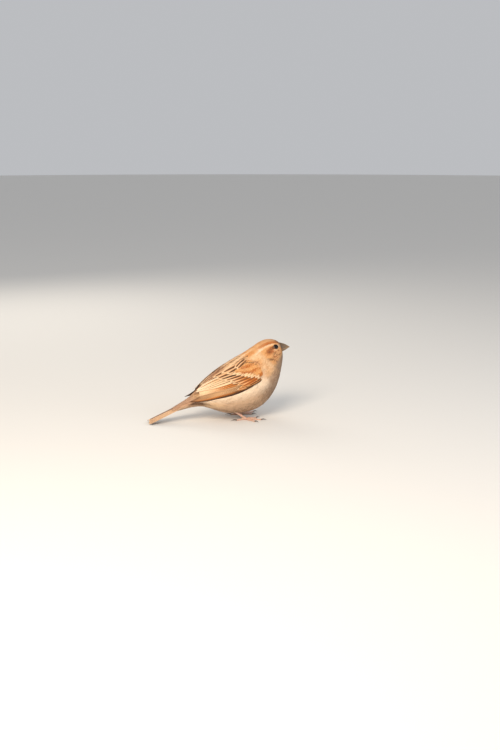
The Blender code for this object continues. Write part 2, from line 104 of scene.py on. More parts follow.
# Folded wing: station against degrees from the spine of its lower edge.
WING_EDGE = np.array([
    (6.9, 89.0), (8.3, 98.0), (9.2, 94.5), (10.4, 84.0), (12.2, 72.0), (14.2, 63.0), (16.4, 58.5)])
WING_FLARE, WING_FLARE_SPAN = 3.3, (13.0, 16.4)  # mm that the tip stands off, and its stations
WING_RAISE, WING_RAISE_SPAN = 10.0, (9.0, 13.0)  # degrees that the left tip is carried higher

BILL_ROOT_TOP, BILL_ROOT_LOW = Vector(TABLE[0][:2]), Vector(TABLE[0][2:4])
BILL_TIP = Vector((45.5, 62.7))
BILL_GAPE_Z = 62.9
BILL_DOWN_TURN = 1.5
BILL_SPREAD = 1.5  # crowds the rows of the surface together near the tip
BILL_ARCH = 0.75  # how much of the way round a section is arch; the rest is the flat of the gape
NOSTRILS, NOSTRIL_T = (0.75, math.pi - 0.75), 0.17  # angles round the arch, and how far out

TAIL_ROOT_AT, TAIL_TIP_AT = Vector((-51.0, 18.3)), Vector((-88.6, 2.0))
TAIL_HALF_WIDTH = (4.6, 6.6)
TAIL_NOTCH = 1.6
RECTRICES_PER_SIDE = 6

EYE_BALL = 3.2
EYE_CLEAR, EYE_RIM = 3.0, 2.25  # no feather roots within the first of an eye, no tips within the second
LID_OPENING = 2.12
LID_FOLDS = 19

TARSUS_TOP = (-15.5, 10.4, 12.6)
SCUTES = 9
# Toes: degrees from straight ahead, length, length of the claw, plates. Each stands a step higher than
# the last, so that no two flat undersides share a plane.
TOES = {"hind": (172.0, 8.8, 5.6, 5), "inner": (-14.0, 10.8, 4.0, 6), "middle": (20.0, 14.4, 4.4, 9),
        "outer": (56.0, 11.4, 3.8, 7)}
TOE_STEP = 0.015
TOE_FLAT = 0.25  # how far the round of a toe is cut off by the floor
SOLE_RADIUS = 1.42
FOOT_MIDDLE = 1.0  # height of the sole's middle
CLAW_SUNK, CLAW_EXTRA = 0.2, 0.5  # how far a claw starts inside its toe, and what is added to its length
PLAIN_SCALE = 0.15  # how dark the skin is away from the grooves


# ---------------------------------------------------------------- settings
def srgb(red, green, blue):
    """A colour as a screen shows it, 0 to 255, as the linear colour that a material takes."""
    def linear(value):
        value /= 255
        return value / 12.92 if value <= 0.04045 else ((value + 0.055) / 1.055) ** 2.4
    return (linear(red), linear(green), linear(blue))


def colour(name, description, *values):
    return bpy.props.FloatVectorProperty(
        name=name, description=description, subtype="COLOR", size=3, min=0, max=1, default=srgb(*values))


def size(name, description, default):
    return bpy.props.FloatProperty(name=name, description=description, default=default, min=0)


def angle(name, description, degrees):
    return bpy.props.FloatProperty(
        name=name, description=description, default=math.radians(degrees), subtype="ANGLE")


class SparrowPlumage(bpy.types.PropertyGroup):
    """Colours and sizes of the feathers. Sizes are in millimetres."""

    # Some of these colours are also laid as painted light and shade: gold and cream left pale on the top of the
    # crown, throat grey on the chin, breast as mottled shade underneath, olive brown and dark brown as the
    # shadow line before the wing and the shadow under its tips.
    cream: colour("Cream", "Palest feather edges, brow stripe and wing bar", 234, 197, 154)
    white: colour("Off white", "Flank and upper belly below the wing", 246, 220, 190)
    buff: colour("Buff", "Sandy edges of the back and wing feathers", 214, 166, 118)
    gold: colour("Gold", "Nape and the side of the neck", 226, 166, 102)
    crown: colour("Crown", "Warm orange-brown of the crown", 194, 114, 44)
    rufous: colour("Rufous", "Red-brown of the ear coverts and wing coverts", 168, 88, 30)
    olive: colour("Olive brown", "Streaks of the mantle", 110, 68, 32)
    dark: colour("Dark brown", "Centres of the wing feathers", 62, 38, 22)
    throat: colour("Throat grey", "Greyish buff of chin and throat", 168, 140, 116)
    breast: colour("Breast", "Brownish grey mottling of the breast side", 150, 110, 76)
    belly: colour("Belly", "Creamy grey of the belly", 216, 178, 142)
    tail: colour("Tail", "Pale buff edges of the tail feathers", 190, 146, 114)
    tail_dark: colour("Tail centre", "Brown centres of the tail feathers", 104, 72, 52)
    skin_depth_face: size("Coat depth, face", "Depth of the coat over the skin of the face", 0.45)
    skin_depth_body: size("Coat depth, body", "Depth of the coat over the skin of the body", 1.3)
    barb_pitch: size("Barb pitch", "Distance between barbs", 0.17)
    vane_thickness: size("Vane thickness", "Thickness of a flight feather", 0.12)
    tuft_thickness: size("Tuft thickness", "Thickness of a body feather", 0.015)


class SparrowHardParts(bpy.types.PropertyGroup):
    """Colours of the bill, eyes, legs and claws."""

    bill: colour("Bill", "Horn of the bill's base", 94, 72, 46)
    # The culmen's share of the paler tip colour is a painted highlight.
    bill_tip: colour("Bill tip", "Paler horn of the tip and the culmen", 156, 124, 86)
    bill_edge: colour("Bill edge", "Pale yellowish cutting edges and lower base", 186, 150, 112)
    iris: colour("Iris", "Dark brown of the eye", 58, 30, 16)
    lid: colour("Lid", "Bare rim of the eyelids", 112, 84, 62)
    leg: colour("Leg", "Pinkish flesh of the tarsus and toes", 214, 174, 150)
    leg_groove: colour("Leg groove", "Darker skin between the scales", 150, 108, 86)
    claw: colour("Claw", "Dark horn of the claws", 58, 42, 34)


class SparrowStage(bpy.types.PropertyGroup):
    """Floor, lights and camera."""

    floor: colour("Floor", "Pale studio floor", 226, 224, 220)
    camera_azimuth: angle("Azimuth", "Compass angle of the view", -15)
    camera_elevation: angle("Elevation", "Height angle of the view", 13)
    camera_distance: size("Distance", "From the lens to the feet, in millimetres", 958)
    camera_right: size("Aim right", "How far right of the feet the view is centred", 6.44)
    camera_up: size("Aim up", "How far above the feet the view is centred", 38.64)
    focal_length: size("Lens", "Focal length on a 36 mm tall sensor", 50)


def plumage():
    return bpy.context.scene.sparrow_plumage


def hard_parts():
    return bpy.context.scene.sparrow_hard_parts


def tone(name):
    """A colour of the plumage, by its name."""
    return np.array(getattr(plumage(), name))


# ---------------------------------------------------------------- numbers on the form
def mix(a, b, t):
    return a + (b - a) * t


def ramp(value, low, high):
    """0 at low, 1 at high and smooth between."""
    t = np.clip((np.asarray(value, float) - low) / (high - low), 0.0, 1.0)
    return t * t * (3 - 2 * t)


def fall(value, low, high):
    """1 at low, 0 at high and smooth between."""
    return 1 - ramp(value, low, high)


def peak(value, centre, half_width):
    """1 at the centre, falling smoothly to 0 at half_width to either side."""
    return fall(np.abs(np.asarray(value, float) - centre), 0.0, half_width)


def through_points(table, t):
    """A smooth curve (Catmull-Rom) through the rows of table; t, an array, counts rows."""
    t = np.asarray(t, float)
    rows = np.vstack([2 * table[0] - table[1], table, 2 * table[-1] - table[-2]])
    i = np.clip(np.floor(t).astype(int), 0, len(table) - 2)
    f = (t - i)[..., None]
    p0, p1, p2, p3 = rows[i], rows[i + 1], rows[i + 2], rows[i + 3]
    return 0.5 * (2 * p1 + (p2 - p0) * f + (2 * p0 - 5 * p1 + 4 * p2 - p3) * f**2
                  + (3 * p1 - p0 - 3 * p2 + p3) * f**3)


def turn_head(x, y, u):
    """Turns the head and eases the turn out along the neck."""
    turn = math.radians(HEAD_TURN) * fall(u, *TURN_FADES)
    dx = x - NECK_AXIS_X
    return NECK_AXIS_X + dx * np.cos(turn) - y * np.sin(turn), dx * np.sin(turn) + y * np.cos(turn)


def form_points(u, degrees):
    """Points of the plumage's outer surface."""
    u, turn = np.broadcast_arrays(np.asarray(u, float), np.radians(np.asarray(degrees, float)))
    top_x, top_z, low_x, low_z, half_width, sits_low = np.moveaxis(through_points(TABLE, u), -1, 0)
    along = np.cos(turn)
    x = (top_x + low_x) / 2 + (top_x - low_x) / 2 * along
    z = (top_z + low_z) / 2 + (top_z - low_z) / 2 * along
    y = half_width * np.sin(turn) * (1 - sits_low * along)
    x, y = turn_head(x, y, u)
    return np.stack([x, y, z], -1)


class Form:
    """The surface tabulated: points, outward normals and how many mm a station or a degree spans."""

    U_STEPS = 16  # table rows per station; there is a column for each degree
    WALK_STEPS = 5

    def __init__(self):
        self.u = np.arange(0, (LAST_U + 1.5) * self.U_STEPS + 1) / self.U_STEPS
        self.angle = np.arange(-180, 181)
        self.points = form_points(self.u[:, None], self.angle[None, :])
        wrapped = np.concatenate([self.points[:, -2:-1], self.points, self.points[:, 1:2]], 1)
        by_u = np.gradient(self.points, self.u, axis=0)
        by_angle = (wrapped[:, 2:] - wrapped[:, :-2]) / 2
        normals = -np.cross(by_u, by_angle)
        self.normals = normals / np.maximum(np.linalg.norm(normals, axis=-1, keepdims=True), 1e-9)
        self.mm_per_u = np.maximum(np.linalg.norm(by_u, axis=-1, keepdims=True), 0.4)
        self.mm_per_degree = np.maximum(np.linalg.norm(by_angle, axis=-1, keepdims=True), 0.01)

    def look_up(self, table, u, degrees):
        """Values of a table between its rows and columns."""
        row = np.clip(u * self.U_STEPS, 0, len(self.u) - 1.001)
        column = np.mod(degrees + 180, 360)
        i, j = row.astype(int), column.astype(int)
        f, g = (row - i)[..., None], (column - j)[..., None]
        j_next = np.minimum(j + 1, len(self.angle) - 1)
        upper = table[i, j] * (1 - g) + table[i, j_next] * g
        lower = table[i + 1, j] * (1 - g) + table[i + 1, j_next] * g
        return upper * (1 - f) + lower * f

    def point(self, u, degrees):
        return self.look_up(self.points, u, degrees)

    def normal(self, u, degrees):
        return self.look_up(self.normals, u, degrees)

    def place(self, u, degrees, height):
        return self.point(u, degrees) + self.normal(u, degrees) * height[..., None]

    def scale(self, u, degrees):
        """Millimetres in a station and in a degree, at a place."""
        return tuple(self.look_up(table, u, degrees)[..., 0] for table in (self.mm_per_u, self.mm_per_degree))

    def walk(self, u, degrees, along, across):
        """Where a walk over the surface ends: mm along the lie of the coat, and mm across it."""
        for _ in range(self.WALK_STEPS):
            here_u, here_angle = self.scale(u, degrees)
            u = u + along / self.WALK_STEPS / here_u
            degrees = degrees + across / self.WALK_STEPS / here_angle
        return u, degrees

    def nearest(self, point, u_range=(1.0, 6.0)):
        """(u, degrees) of the place nearest to a point."""
        rows = (self.u >= u_range[0]) & (self.u <= u_range[1])
        gap = np.linalg.norm(self.points[rows] - np.array(point), axis=-1)
        i, j = np.unravel_index(np.argmin(gap), gap.shape)
        return float(self.u[rows][i]), float(self.angle[j])


FORM = Form()
EYES = {}  # the middle of each solid eye
for side_name, side_sign in SIDES.items():
    low_corner, high_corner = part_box(f"eye_{side_name}")
    EYES[side_sign] = ((Vector(low_corner) + Vector(high_corner)) / 2 - ORIGIN) / MM
EYE_PLACES = {side: FORM.nearest(eye) for side, eye in EYES.items()}


def eye_gaps(u, degrees):
    """The distances over the skin, in mm, to the middle of each eye."""
    gaps = []
    for eye_u, eye_angle in EYE_PLACES.values():
        per_u, per_degree = FORM.scale(np.array([eye_u]), np.array([eye_angle]))
        gaps.append(np.hypot((u - eye_u) * per_u, (degrees - eye_angle) * per_degree))
    return gaps


def keep_off_eyes(u, degrees):
    """Pushes tips that would reach over an eye back to the rim of its lids."""
    for (eye_u, eye_angle), gap in zip(EYE_PLACES.values(), eye_gaps(u, degrees)):
        push = np.where(gap < EYE_RIM, EYE_RIM / np.maximum(gap, 0.2), 1.0)
        u, degrees = eye_u + (u - eye_u) * push, eye_angle + (degrees - eye_angle) * push
    return u, degrees


def wing_edge(u):
    """Degrees from the spine of the folded wing's lower edge."""
    return through_points(WING_EDGE, np.interp(u, WING_EDGE[:, 0], np.arange(len(WING_EDGE))))[..., 1]


def wing_angle(u, above_edge, side):
    """Degrees from the spine of a place on the folded wing, given as degrees above its lower edge."""
    degrees = wing_edge(u) - above_edge
    if side == SIDES["left"]:
        degrees = degrees - WING_RAISE * ramp(u, *WING_RAISE_SPAN)
    return side * degrees


def wing_flare(u):
    return WING_FLARE * ramp(u, *WING_FLARE_SPAN)


def coat_depth(u):
    return mix(plumage().skin_depth_face, plumage().skin_depth_body, ramp(u, 2.0, 8.0))


def value_noise(points, scale, seed=0.0):
    """Smooth noise, about -1 to 1, at points in mm."""
    offset = Vector((seed * 13.7, seed * 7.1, seed * 3.3))
    return np.array([noise.noise(Vector(p) * scale + offset) for p in points])


# ---------------------------------------------------------------- markings and painted light
# Lines of the markings and one painted shadow line, as (u, degrees from the spine) points.
BROW_STRIPE = ((3.7, 47.0), (4.4, 44.5), (5.1, 42.0), (5.9, 39.0), (6.6, 40.0))
EYE_STRIPE = ((3.5, 60.0), (3.9, 60.0), (4.4, 61.5), (4.9, 64.0))
UNDER_EYE = ((2.75, 62.0), (2.8, 69.0), (3.4, 73.0), (4.1, 72.0))
CHEEK_LINE = ((5.9, 76.0), (5.55, 85.0), (5.25, 97.0), (5.0, 113.0))
NECK_LINE = ((6.0, 106.0), (5.75, 118.0), (5.6, 130.0))
MANTLE_BRACE = ((7.2, 13.0), (8.0, 16.0), (9.0, 20.0), (10.0, 26.0), (10.8, 30.0))
MANTLE_STRIPE_FROM, MANTLE_STRIPE_PITCH = 10.0, 15.0  # degrees from the spine
MANTLE_DARK_OUTER = ((7.25, 27.0), (8.1, 26.0), (9.0, 31.5), (9.8, 36.5))
# A painted shadow line along the front edge of the folded wing, laid on the neck and the small coverts.
SHOULDER_SHADOW_LINE = ((8.3, 42.0), (7.7, 42.5), (7.25, 48.0), (7.0, 58.0), (6.95, 70.0))


def near_line(u, degrees, line, half_u, half_degrees):
    """1 on one of the drawn lines, markings and the painted shadow line alike, falling to 0 at the given
    distances from it.
    """
    line = np.array(line)
    best = np.zeros(np.shape(u))
    for t in np.linspace(0, len(line) - 1, 8 * len(line)):
        at_u, at_degrees = (np.interp(t, np.arange(len(line)), line[:, k]) for k in (0, 1))
        gap = np.hypot((u - at_u) / half_u, (degrees - at_degrees) / half_degrees)
        best = np.maximum(best, fall(gap, 0.25, 1.0))
    return best


def oval(u, degrees, centre_u, centre_degrees, half_u, half_degrees):
    """1 in the middle of an oval patch, falling to 0 at its edge."""
    return fall(np.hypot((u - centre_u) / half_u, (degrees - centre_degrees) / half_degrees), 0.4, 1.0)


class MarkingsAndPaintedLight:
    """The colours of the coat at places on it: of the web and of the streak down the middle.

    Each part of the coat gives, in order, a colour and where, 0 to 1, it is laid over the web. A third
    value is the width of a streak, and then the colour is the streak's. Some of the colours are painted
    light and shade, which is noted where they are laid.
    """

    def __init__(self, u, degrees):
        u, degrees = np.asarray(u, float), np.asarray(degrees, float)
        points = FORM.point(u, degrees)
        self.fine = value_noise(points, 0.55, 1)
        self.coarse = value_noise(points, 0.16, 2)
        turn = np.radians(degrees)
        girth = FORM.look_up(FORM.mm_per_degree, u, degrees)[:, 0] * 57.3
        lie = np.stack([u * 1.1, np.cos(turn) * girth / 2.4, np.sin(turn) * girth / 2.4], -1)
        self.streaky = value_noise(lie, 1.0, 3)  # drawn out along the lie of the coat
        self.speckle = value_noise(points, 1.1, 4)
        self.web = np.tile(tone("buff"), (len(u), 1))
        self.streak = np.tile(tone("olive"), (len(u), 1))
        self.streak_width = np.zeros(len(u))
        for part in (self.head, self.neck, self.mantle, self.underside, self.tail_coverts):
            for name, where, *width in part(u, np.abs(degrees)):
                where = np.clip(where, 0, 1)
                if width:
                    self.streak = mix(self.streak, tone(name), where[:, None])
                    self.streak_width = mix(self.streak_width, width[0], where)
                else:
                    self.web = mix(self.web, tone(name), where[:, None])

    def head(self, u, d):
        head = fall(u, 5.6, 6.3)
        crown = head * fall(d, 40, 45)
        yield "gold", crown
        yield "cream", crown * 0.3
        # painted highlight: the top of the crown along the spine is left pale gold, with the full crown colour
        # and its rufous streaks on the sides
        yield "crown", crown * (0.1 + 0.9 * ramp(d, 20, 34)) * (1 - 0.5 * ramp(u, 4.4, 5.8))
        yield "rufous", crown * (0.15 + 0.5 * ramp(d, 20, 36)) * ramp(self.streaky, 0.0, 0.35)
        yield "olive", head * 0.45 * fall(u, 1.2, 3.4) * fall(d, 40, 56)
        yield "gold", head * ramp(d, 40, 45)
        yield "cream", near_line(u, d, BROW_STRIPE, 0.75, 6.0)
        yield "white", 0.85 * oval(u, d, 5.9, 39, 0.8, 8)
        ear = oval(u, d, 4.35, 64, 1.5, 15)
        yield "crown", ear
        yield "rufous", ear * ramp(self.speckle + 0.5 * self.streaky, -0.4, 0.0)
        yield "olive", near_line(u, d, EYE_STRIPE, 0.5, 7.0) * 0.8 * ramp(self.speckle, -0.5, 0.0)
        yield "white", oval(u, d, 2.3, 60, 0.7, 12) * 0.45
        yield "throat", oval(u, d, 1.6, 60, 1.3, 20) * 0.5
        yield "cream", near_line(u, d, UNDER_EYE, 0.22, 3.5) * 0.9
        cheek = oval(u, d, 3.9, 88, 2.0, 18)
        yield "buff", cheek * 0.6
        yield "rufous", cheek * 0.95 * ramp(self.speckle, 0.02, 0.22)
        yield "olive", cheek * 0.7 * ramp(self.fine, 0.1, 0.3)
        yield "rufous", near_line(u, d, CHEEK_LINE, 0.2, 3.8) * 0.5
        yield "olive", near_line(u, d, CHEEK_LINE, 0.13, 3.0) * 0.8
        # The chin and throat are greyer: partly their own greyish buff and partly painted shade under the head.
        throat = head * ramp(d, 96, 118)
        yield "throat", throat * 0.9
        yield "breast", throat * 0.5 * ramp(self.speckle, 0.0, 0.35)
        yield "olive", head * 0.35 * oval(u, d, 1.3, 82, 1.2, 14)

    def neck(self, u, d):
        neck = ramp(u, 5.6, 6.2) * fall(u, 7.0, 7.6)
        nape = neck * fall(d, 34, 44)
        yield "gold", nape
        yield "cream", nape * 0.45 * ramp(-self.streaky, -0.1, 0.3)
        yield "crown", nape * 0.5 * ramp(self.streaky, 0.0, 0.4)
        side = neck * ramp(d, 38, 46) * fall(d, 104, 122)
        yield "cream", side * 0.75
        yield "buff", side * 0.4 * ramp(self.speckle, -0.1, 0.3)
        yield "crown", side * 0.3 * ramp(self.speckle + 0.5 * self.streaky, 0.1, 0.5)
        yield "gold", oval(u, d, 7.0, 64, 0.9, 20) * 0.5
        yield "crown", oval(u, d, 7.0, 68, 0.7, 18) * 0.25
        # painted shadow: a dark, warm line at the front edge of the folded wing
        yield "rufous", near_line(u, d, SHOULDER_SHADOW_LINE, 0.2, 3.0) * 0.4
        yield "olive", near_line(u, d, SHOULDER_SHADOW_LINE, 0.14, 2.2) * 0.45
        yield "olive", near_line(u, d, NECK_LINE, 0.15, 3.0) * 0.4

    def mantle(self, u, d):
        mantle = ramp(u, 7.0, 7.6) * fall(d, 48, 54) * fall(u, 11.2, 12.4)
        yield "buff", mantle
        stripes = np.cos(2 * np.pi * (d - MANTLE_STRIPE_FROM) / MANTLE_STRIPE_PITCH)
        central = mantle * fall(d, 22, 26)
        yield "cream", central * ramp(-stripes, 0.0, 0.8) * 0.7
        dark = central * ramp(stripes + 0.25 * self.streaky, 0.3, 1.0)
        yield "olive", dark * 0.5
        yield "dark", dark, 0.5
        brace = near_line(u, d, MANTLE_BRACE, 0.8, 6.0)
        yield "cream", brace * 0.95
        self.streak_width = self.streak_width * (1 - brace)
        dark = near_line(u, d, MANTLE_DARK_OUTER, 0.45, 3.4)
        yield "olive", dark * 0.6
        yield "dark", dark, 0.55
        back = ramp(u, 11.2, 12.4) * fall(d, 60, 75) * fall(u, 16, 17)
        yield "buff", back
        yield "cream", back * 0.3 * peak(d, 36, 20)
        yield "breast", back * (0.2 + 0.5 * ramp(self.streaky, 0.0, 0.4))
        spine = ramp(u, 9.0, 10.4) * fall(u, 13.6, 15.0) * fall(d, 10, 26)
        yield "rufous", spine * 0.5
        yield "olive", spine * (0.35 + 0.4 * ramp(self.streaky, -0.1, 0.3))

    def underside(self, u, d):
        from_edge = d - np.where(u < 6.9, 110.0, wing_edge(u) - 4)
        under = ramp(u, 6.6, 7.4) * ramp(from_edge, -6, 4) * fall(u, 14.6, 15.4)
        yield "belly", under
        # The front of the breast is greyer and mottled: partly its own colour and partly painted shade.
        front = ramp(u, 5.4, 6.6) * fall(u, 8.6, 10.6) * ramp(d, 102, 122)
        yield "throat", front * 0.7
        yield "breast", front * 0.6 * ramp(self.speckle + 0.6 * self.streaky, -0.5, 0.6)
        # Paler just below the wing's edge: partly the flank's own pale colour and partly painted light where
        # the flank is lit.
        yield "white", under * peak(from_edge, 8, 30) * ramp(u, 7.2, 8.4)
        yield "gold", peak(u, 7.2, 1.2) * peak(d, 100, 16) * 0.55
        # The lower side is darker and mottled, and the whole underside lightly mottled: partly the coat's own
        # colour and partly painted shade underneath and between ruffled feathers.
        low = under * ramp(d, 112, 136) * ramp(u, 8.0, 9.5)
        yield "breast", low * 0.65 * ramp(self.speckle + 0.5 * self.coarse, -0.45, 0.6)
        yield "breast", under * 0.22 * ramp(self.speckle, 0.1, 0.5)
        yield "breast", low * 0.6, 0.3
        yield "cream", oval(u, d, 14.2, 96, 1.4, 24) * 0.8
        yield "olive", oval(u, d, 14.8, 96, 0.7, 16) * 0.4 * ramp(self.streaky, -0.2, 0.3)

    def tail_coverts(self, u, d):
        end = ramp(u, 14.6, 15.6)
        below, above = end * ramp(d, 60, 85), end * fall(d, 60, 85)
        yield "belly", below
        yield "throat", below * 0.4
        # painted shadow: olive and dark brown under the wing's tips, at the base of the tail
        yield "olive", oval(u, d, 15.5, 86, 1.6, 24) * 0.95
        yield "dark", oval(u, d, 15.5, 84, 1.2, 16) * 0.5
        yield "breast", below, 0.3
        yield "tail", above
        yield "tail_dark", above, 0.12


# ---------------------------------------------------------------- mesh tools
def link(name, mesh, material):
    mesh.materials.append(material)
    made = bpy.data.objects.new(name, mesh)
    bpy.context.scene.collection.objects.link(made)
    return made


def object_from(bm, name, material, sharp=None):
    """The bmesh, in mm from the feet, as an object whose place is in its mesh."""
    bmesh.ops.recalc_face_normals(bm, faces=bm.faces)
    bm.transform(Matrix.Translation(ORIGIN) @ Matrix.Scale(MM, 4))
    mesh = bpy.data.meshes.new(name)
    bm.to_mesh(mesh)
    bm.free()
    mesh.shade_smooth()
    if sharp:
        mesh.set_sharp_from_angle(angle=math.radians(sharp))
    return link(name, mesh, material)


def wrapped_grid(columns, rows, place, close_ends=True):
    """A tube: a grid whose columns go round, each vertex put where place(round 0..1, along 0..1) says."""
    bm = bmesh.new()
    bmesh.ops.create_grid(bm, x_segments=columns, y_segments=rows, size=0.5)
    for vert in bm.verts:
        vert.co = place((vert.co.x + 0.5) % 1.0 if vert.co.x < 0.4999 else 0.0, vert.co.y + 0.5)
    bmesh.ops.remove_doubles(bm, verts=bm.verts, dist=1e-4)
    if close_ends:
        bmesh.ops.holes_fill(bm, edges=[e for e in bm.edges if e.is_boundary], sides=0)
    return bm


def sphere(columns, rows, radius, centre, turn=Matrix.Identity(3)):
    bm = bmesh.new()
    bmesh.ops.create_uvsphere(bm, u_segments=columns, v_segments=rows, radius=radius)
    bmesh.ops.rotate(bm, verts=bm.verts, matrix=turn)
    bmesh.ops.translate(bm, verts=bm.verts, vec=centre)
    return bm


def tube(name, material, grid, centre, direction, radius, floor=0.0):
    """A tube with its middle at centre(t) and radius(t, angle) round it, flat where it meets the floor."""
    direction = direction.normalized()
    side = direction.cross(Vector((0, 0, 1))).normalized()
    up = side.cross(direction)

    def place(around, t):
        a = 2 * math.pi * around
        point = centre(t) + (side * math.cos(a) + up * math.sin(a)) * radius(t, a)
        point.z = max(point.z, floor)
        return point

    return object_from(wrapped_grid(*grid, place), name, material)


def dress(piece, slot, *nodes):
    """Ties a piece to the body, in place of the solid nodes named."""
    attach(piece, "root")
    if nodes:
        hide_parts(*nodes)


def paint_zones(piece, zone):
    """Stores zone(point in mm) for each vertex, as one number or three, for the material to read."""
    layer = piece.data.attributes.new("zones", "FLOAT_COLOR", "POINT")
    for vert, item in zip(piece.data.vertices, layer.data):
        value = zone((vert.co - ORIGIN) / MM)
        value = (value,) * 3 if isinstance(value, (int, float)) else value
        item.color = (*value, 1.0)



# ---------------------------------------------------------------- vanes
class VaneShape:
    """A unit feather, closed and one unit thick: across -1 to 1, along 0 to 1, barb ends frayed."""

    def __init__(self, rows, columns, seed, root=0.4, narrow=0.35, blunt=0.4, fray=0.1, splits=0):
        bm = bmesh.new()
        bmesh.ops.create_grid(bm, x_segments=columns, y_segments=rows, size=1)
        bmesh.ops.solidify(bm, geom=bm.faces[:], thickness=1.0)
        bmesh.ops.recalc_face_normals(bm, faces=bm.faces)
        co = np.array([v.co for v in bm.verts])
        self.faces = np.array([[v.index for v in f.verts] for f in bm.faces])
        bm.free()
        self.under = (co[:, 2].max() - co[:, 2]) / np.ptp(co[:, 2])
        self.x, self.y = np.round(co[:, 0], 5), np.round((co[:, 1] + 1) / 2, 5)
        rng = random.Random(seed)
        column = np.rint((self.x + 1) / 2 * columns).astype(int)
        reach = np.array([rng.uniform(-1, 1) + 0.6 * (-1) ** k for k in range(columns + 1)])[column]
        short = blunt * np.abs(self.x) ** 1.8 + fray * reach
        self.out_x = self.x * mix(root, 1.0, ramp(self.y, 0, 0.35)) * (1 - narrow * self.y**2)
        self.out_y = self.y * (1 - short * self.y**2)
        row = np.rint(self.y * rows).astype(int)
        for _ in range(splits):  # a gap where barbs have come apart
            at_row, side = rng.randint(rows // 3, rows - 3), rng.choice((-1, 1))
            torn = (row == at_row) & (self.x * side > 0.3)
            self.out_x[torn] *= 1 - 0.14 * np.abs(self.x[torn])
            self.out_y[torn] -= 0.012 * np.abs(self.x[torn])


def shapes(seeds, *grid, **settings):
    return [VaneShape(*grid, seed, **settings) for seed in seeds]


PLACES = ("root_u", "root_a", "tip_u", "tip_a", "half_out", "half_in", "root_h", "tip_h", "camber", "curl")


def feathers(web, streak, fringe, streak_width, fringe_width, fade, **places):
    """A table of feathers: places, sizes, heights and colours; fade pales the web towards the tip."""
    count = len(web)
    table = {key: np.broadcast_to(np.asarray(places.get(key, 0.0), float), (count,)) for key in PLACES}
    for key, tint, width in (("web", web, fade), ("streak", streak, streak_width),
                             ("fringe", fringe, fringe_width)):
        table[key] = np.hstack([tint, np.reshape(width, (-1, 1)) * np.ones((count, 1))])
    return table


def joined(tables):
    return {key: np.concatenate([table[key] for table in tables]) for key in tables[0]}


def bake_places(table, patch):
    """Where each root lies on the bake map: on the skin's own unwrap, or in rows where a patch is given."""
    if not patch:
        return np.stack([(table["root_u"] + 0.5) / (LAST_U + 2), (table["root_a"] + 180) / 360], -1)
    k = np.arange(len(table["root_u"]))
    per_row = math.ceil(math.sqrt(len(k)))
    return np.stack([(k % per_row + 0.5) / per_row, (k // per_row + 0.1) / per_row], -1)


def soften(mesh, faces, level, body_normals):
    """Shades soft feathers mostly as the body under them: level is 0 on top corners and 1 underneath."""
    own = np.empty(len(mesh.vertices) * 3, np.float32)
    mesh.vertex_normals.foreach_get("vector", own)
    own = own.reshape(-1, 3)
    tangent = own - (own * body_normals).sum(-1, keepdims=True) * body_normals
    facing = np.where(level[faces].min(1) > 0.5, -1.0, 1.0)[:, None, None]
    normals = body_normals[faces] * facing + 0.4 * tangent[faces]
    normals /= np.linalg.norm(normals, axis=-1, keepdims=True)
    mesh.normals_split_custom_set(normals.reshape(-1, 3).tolist())


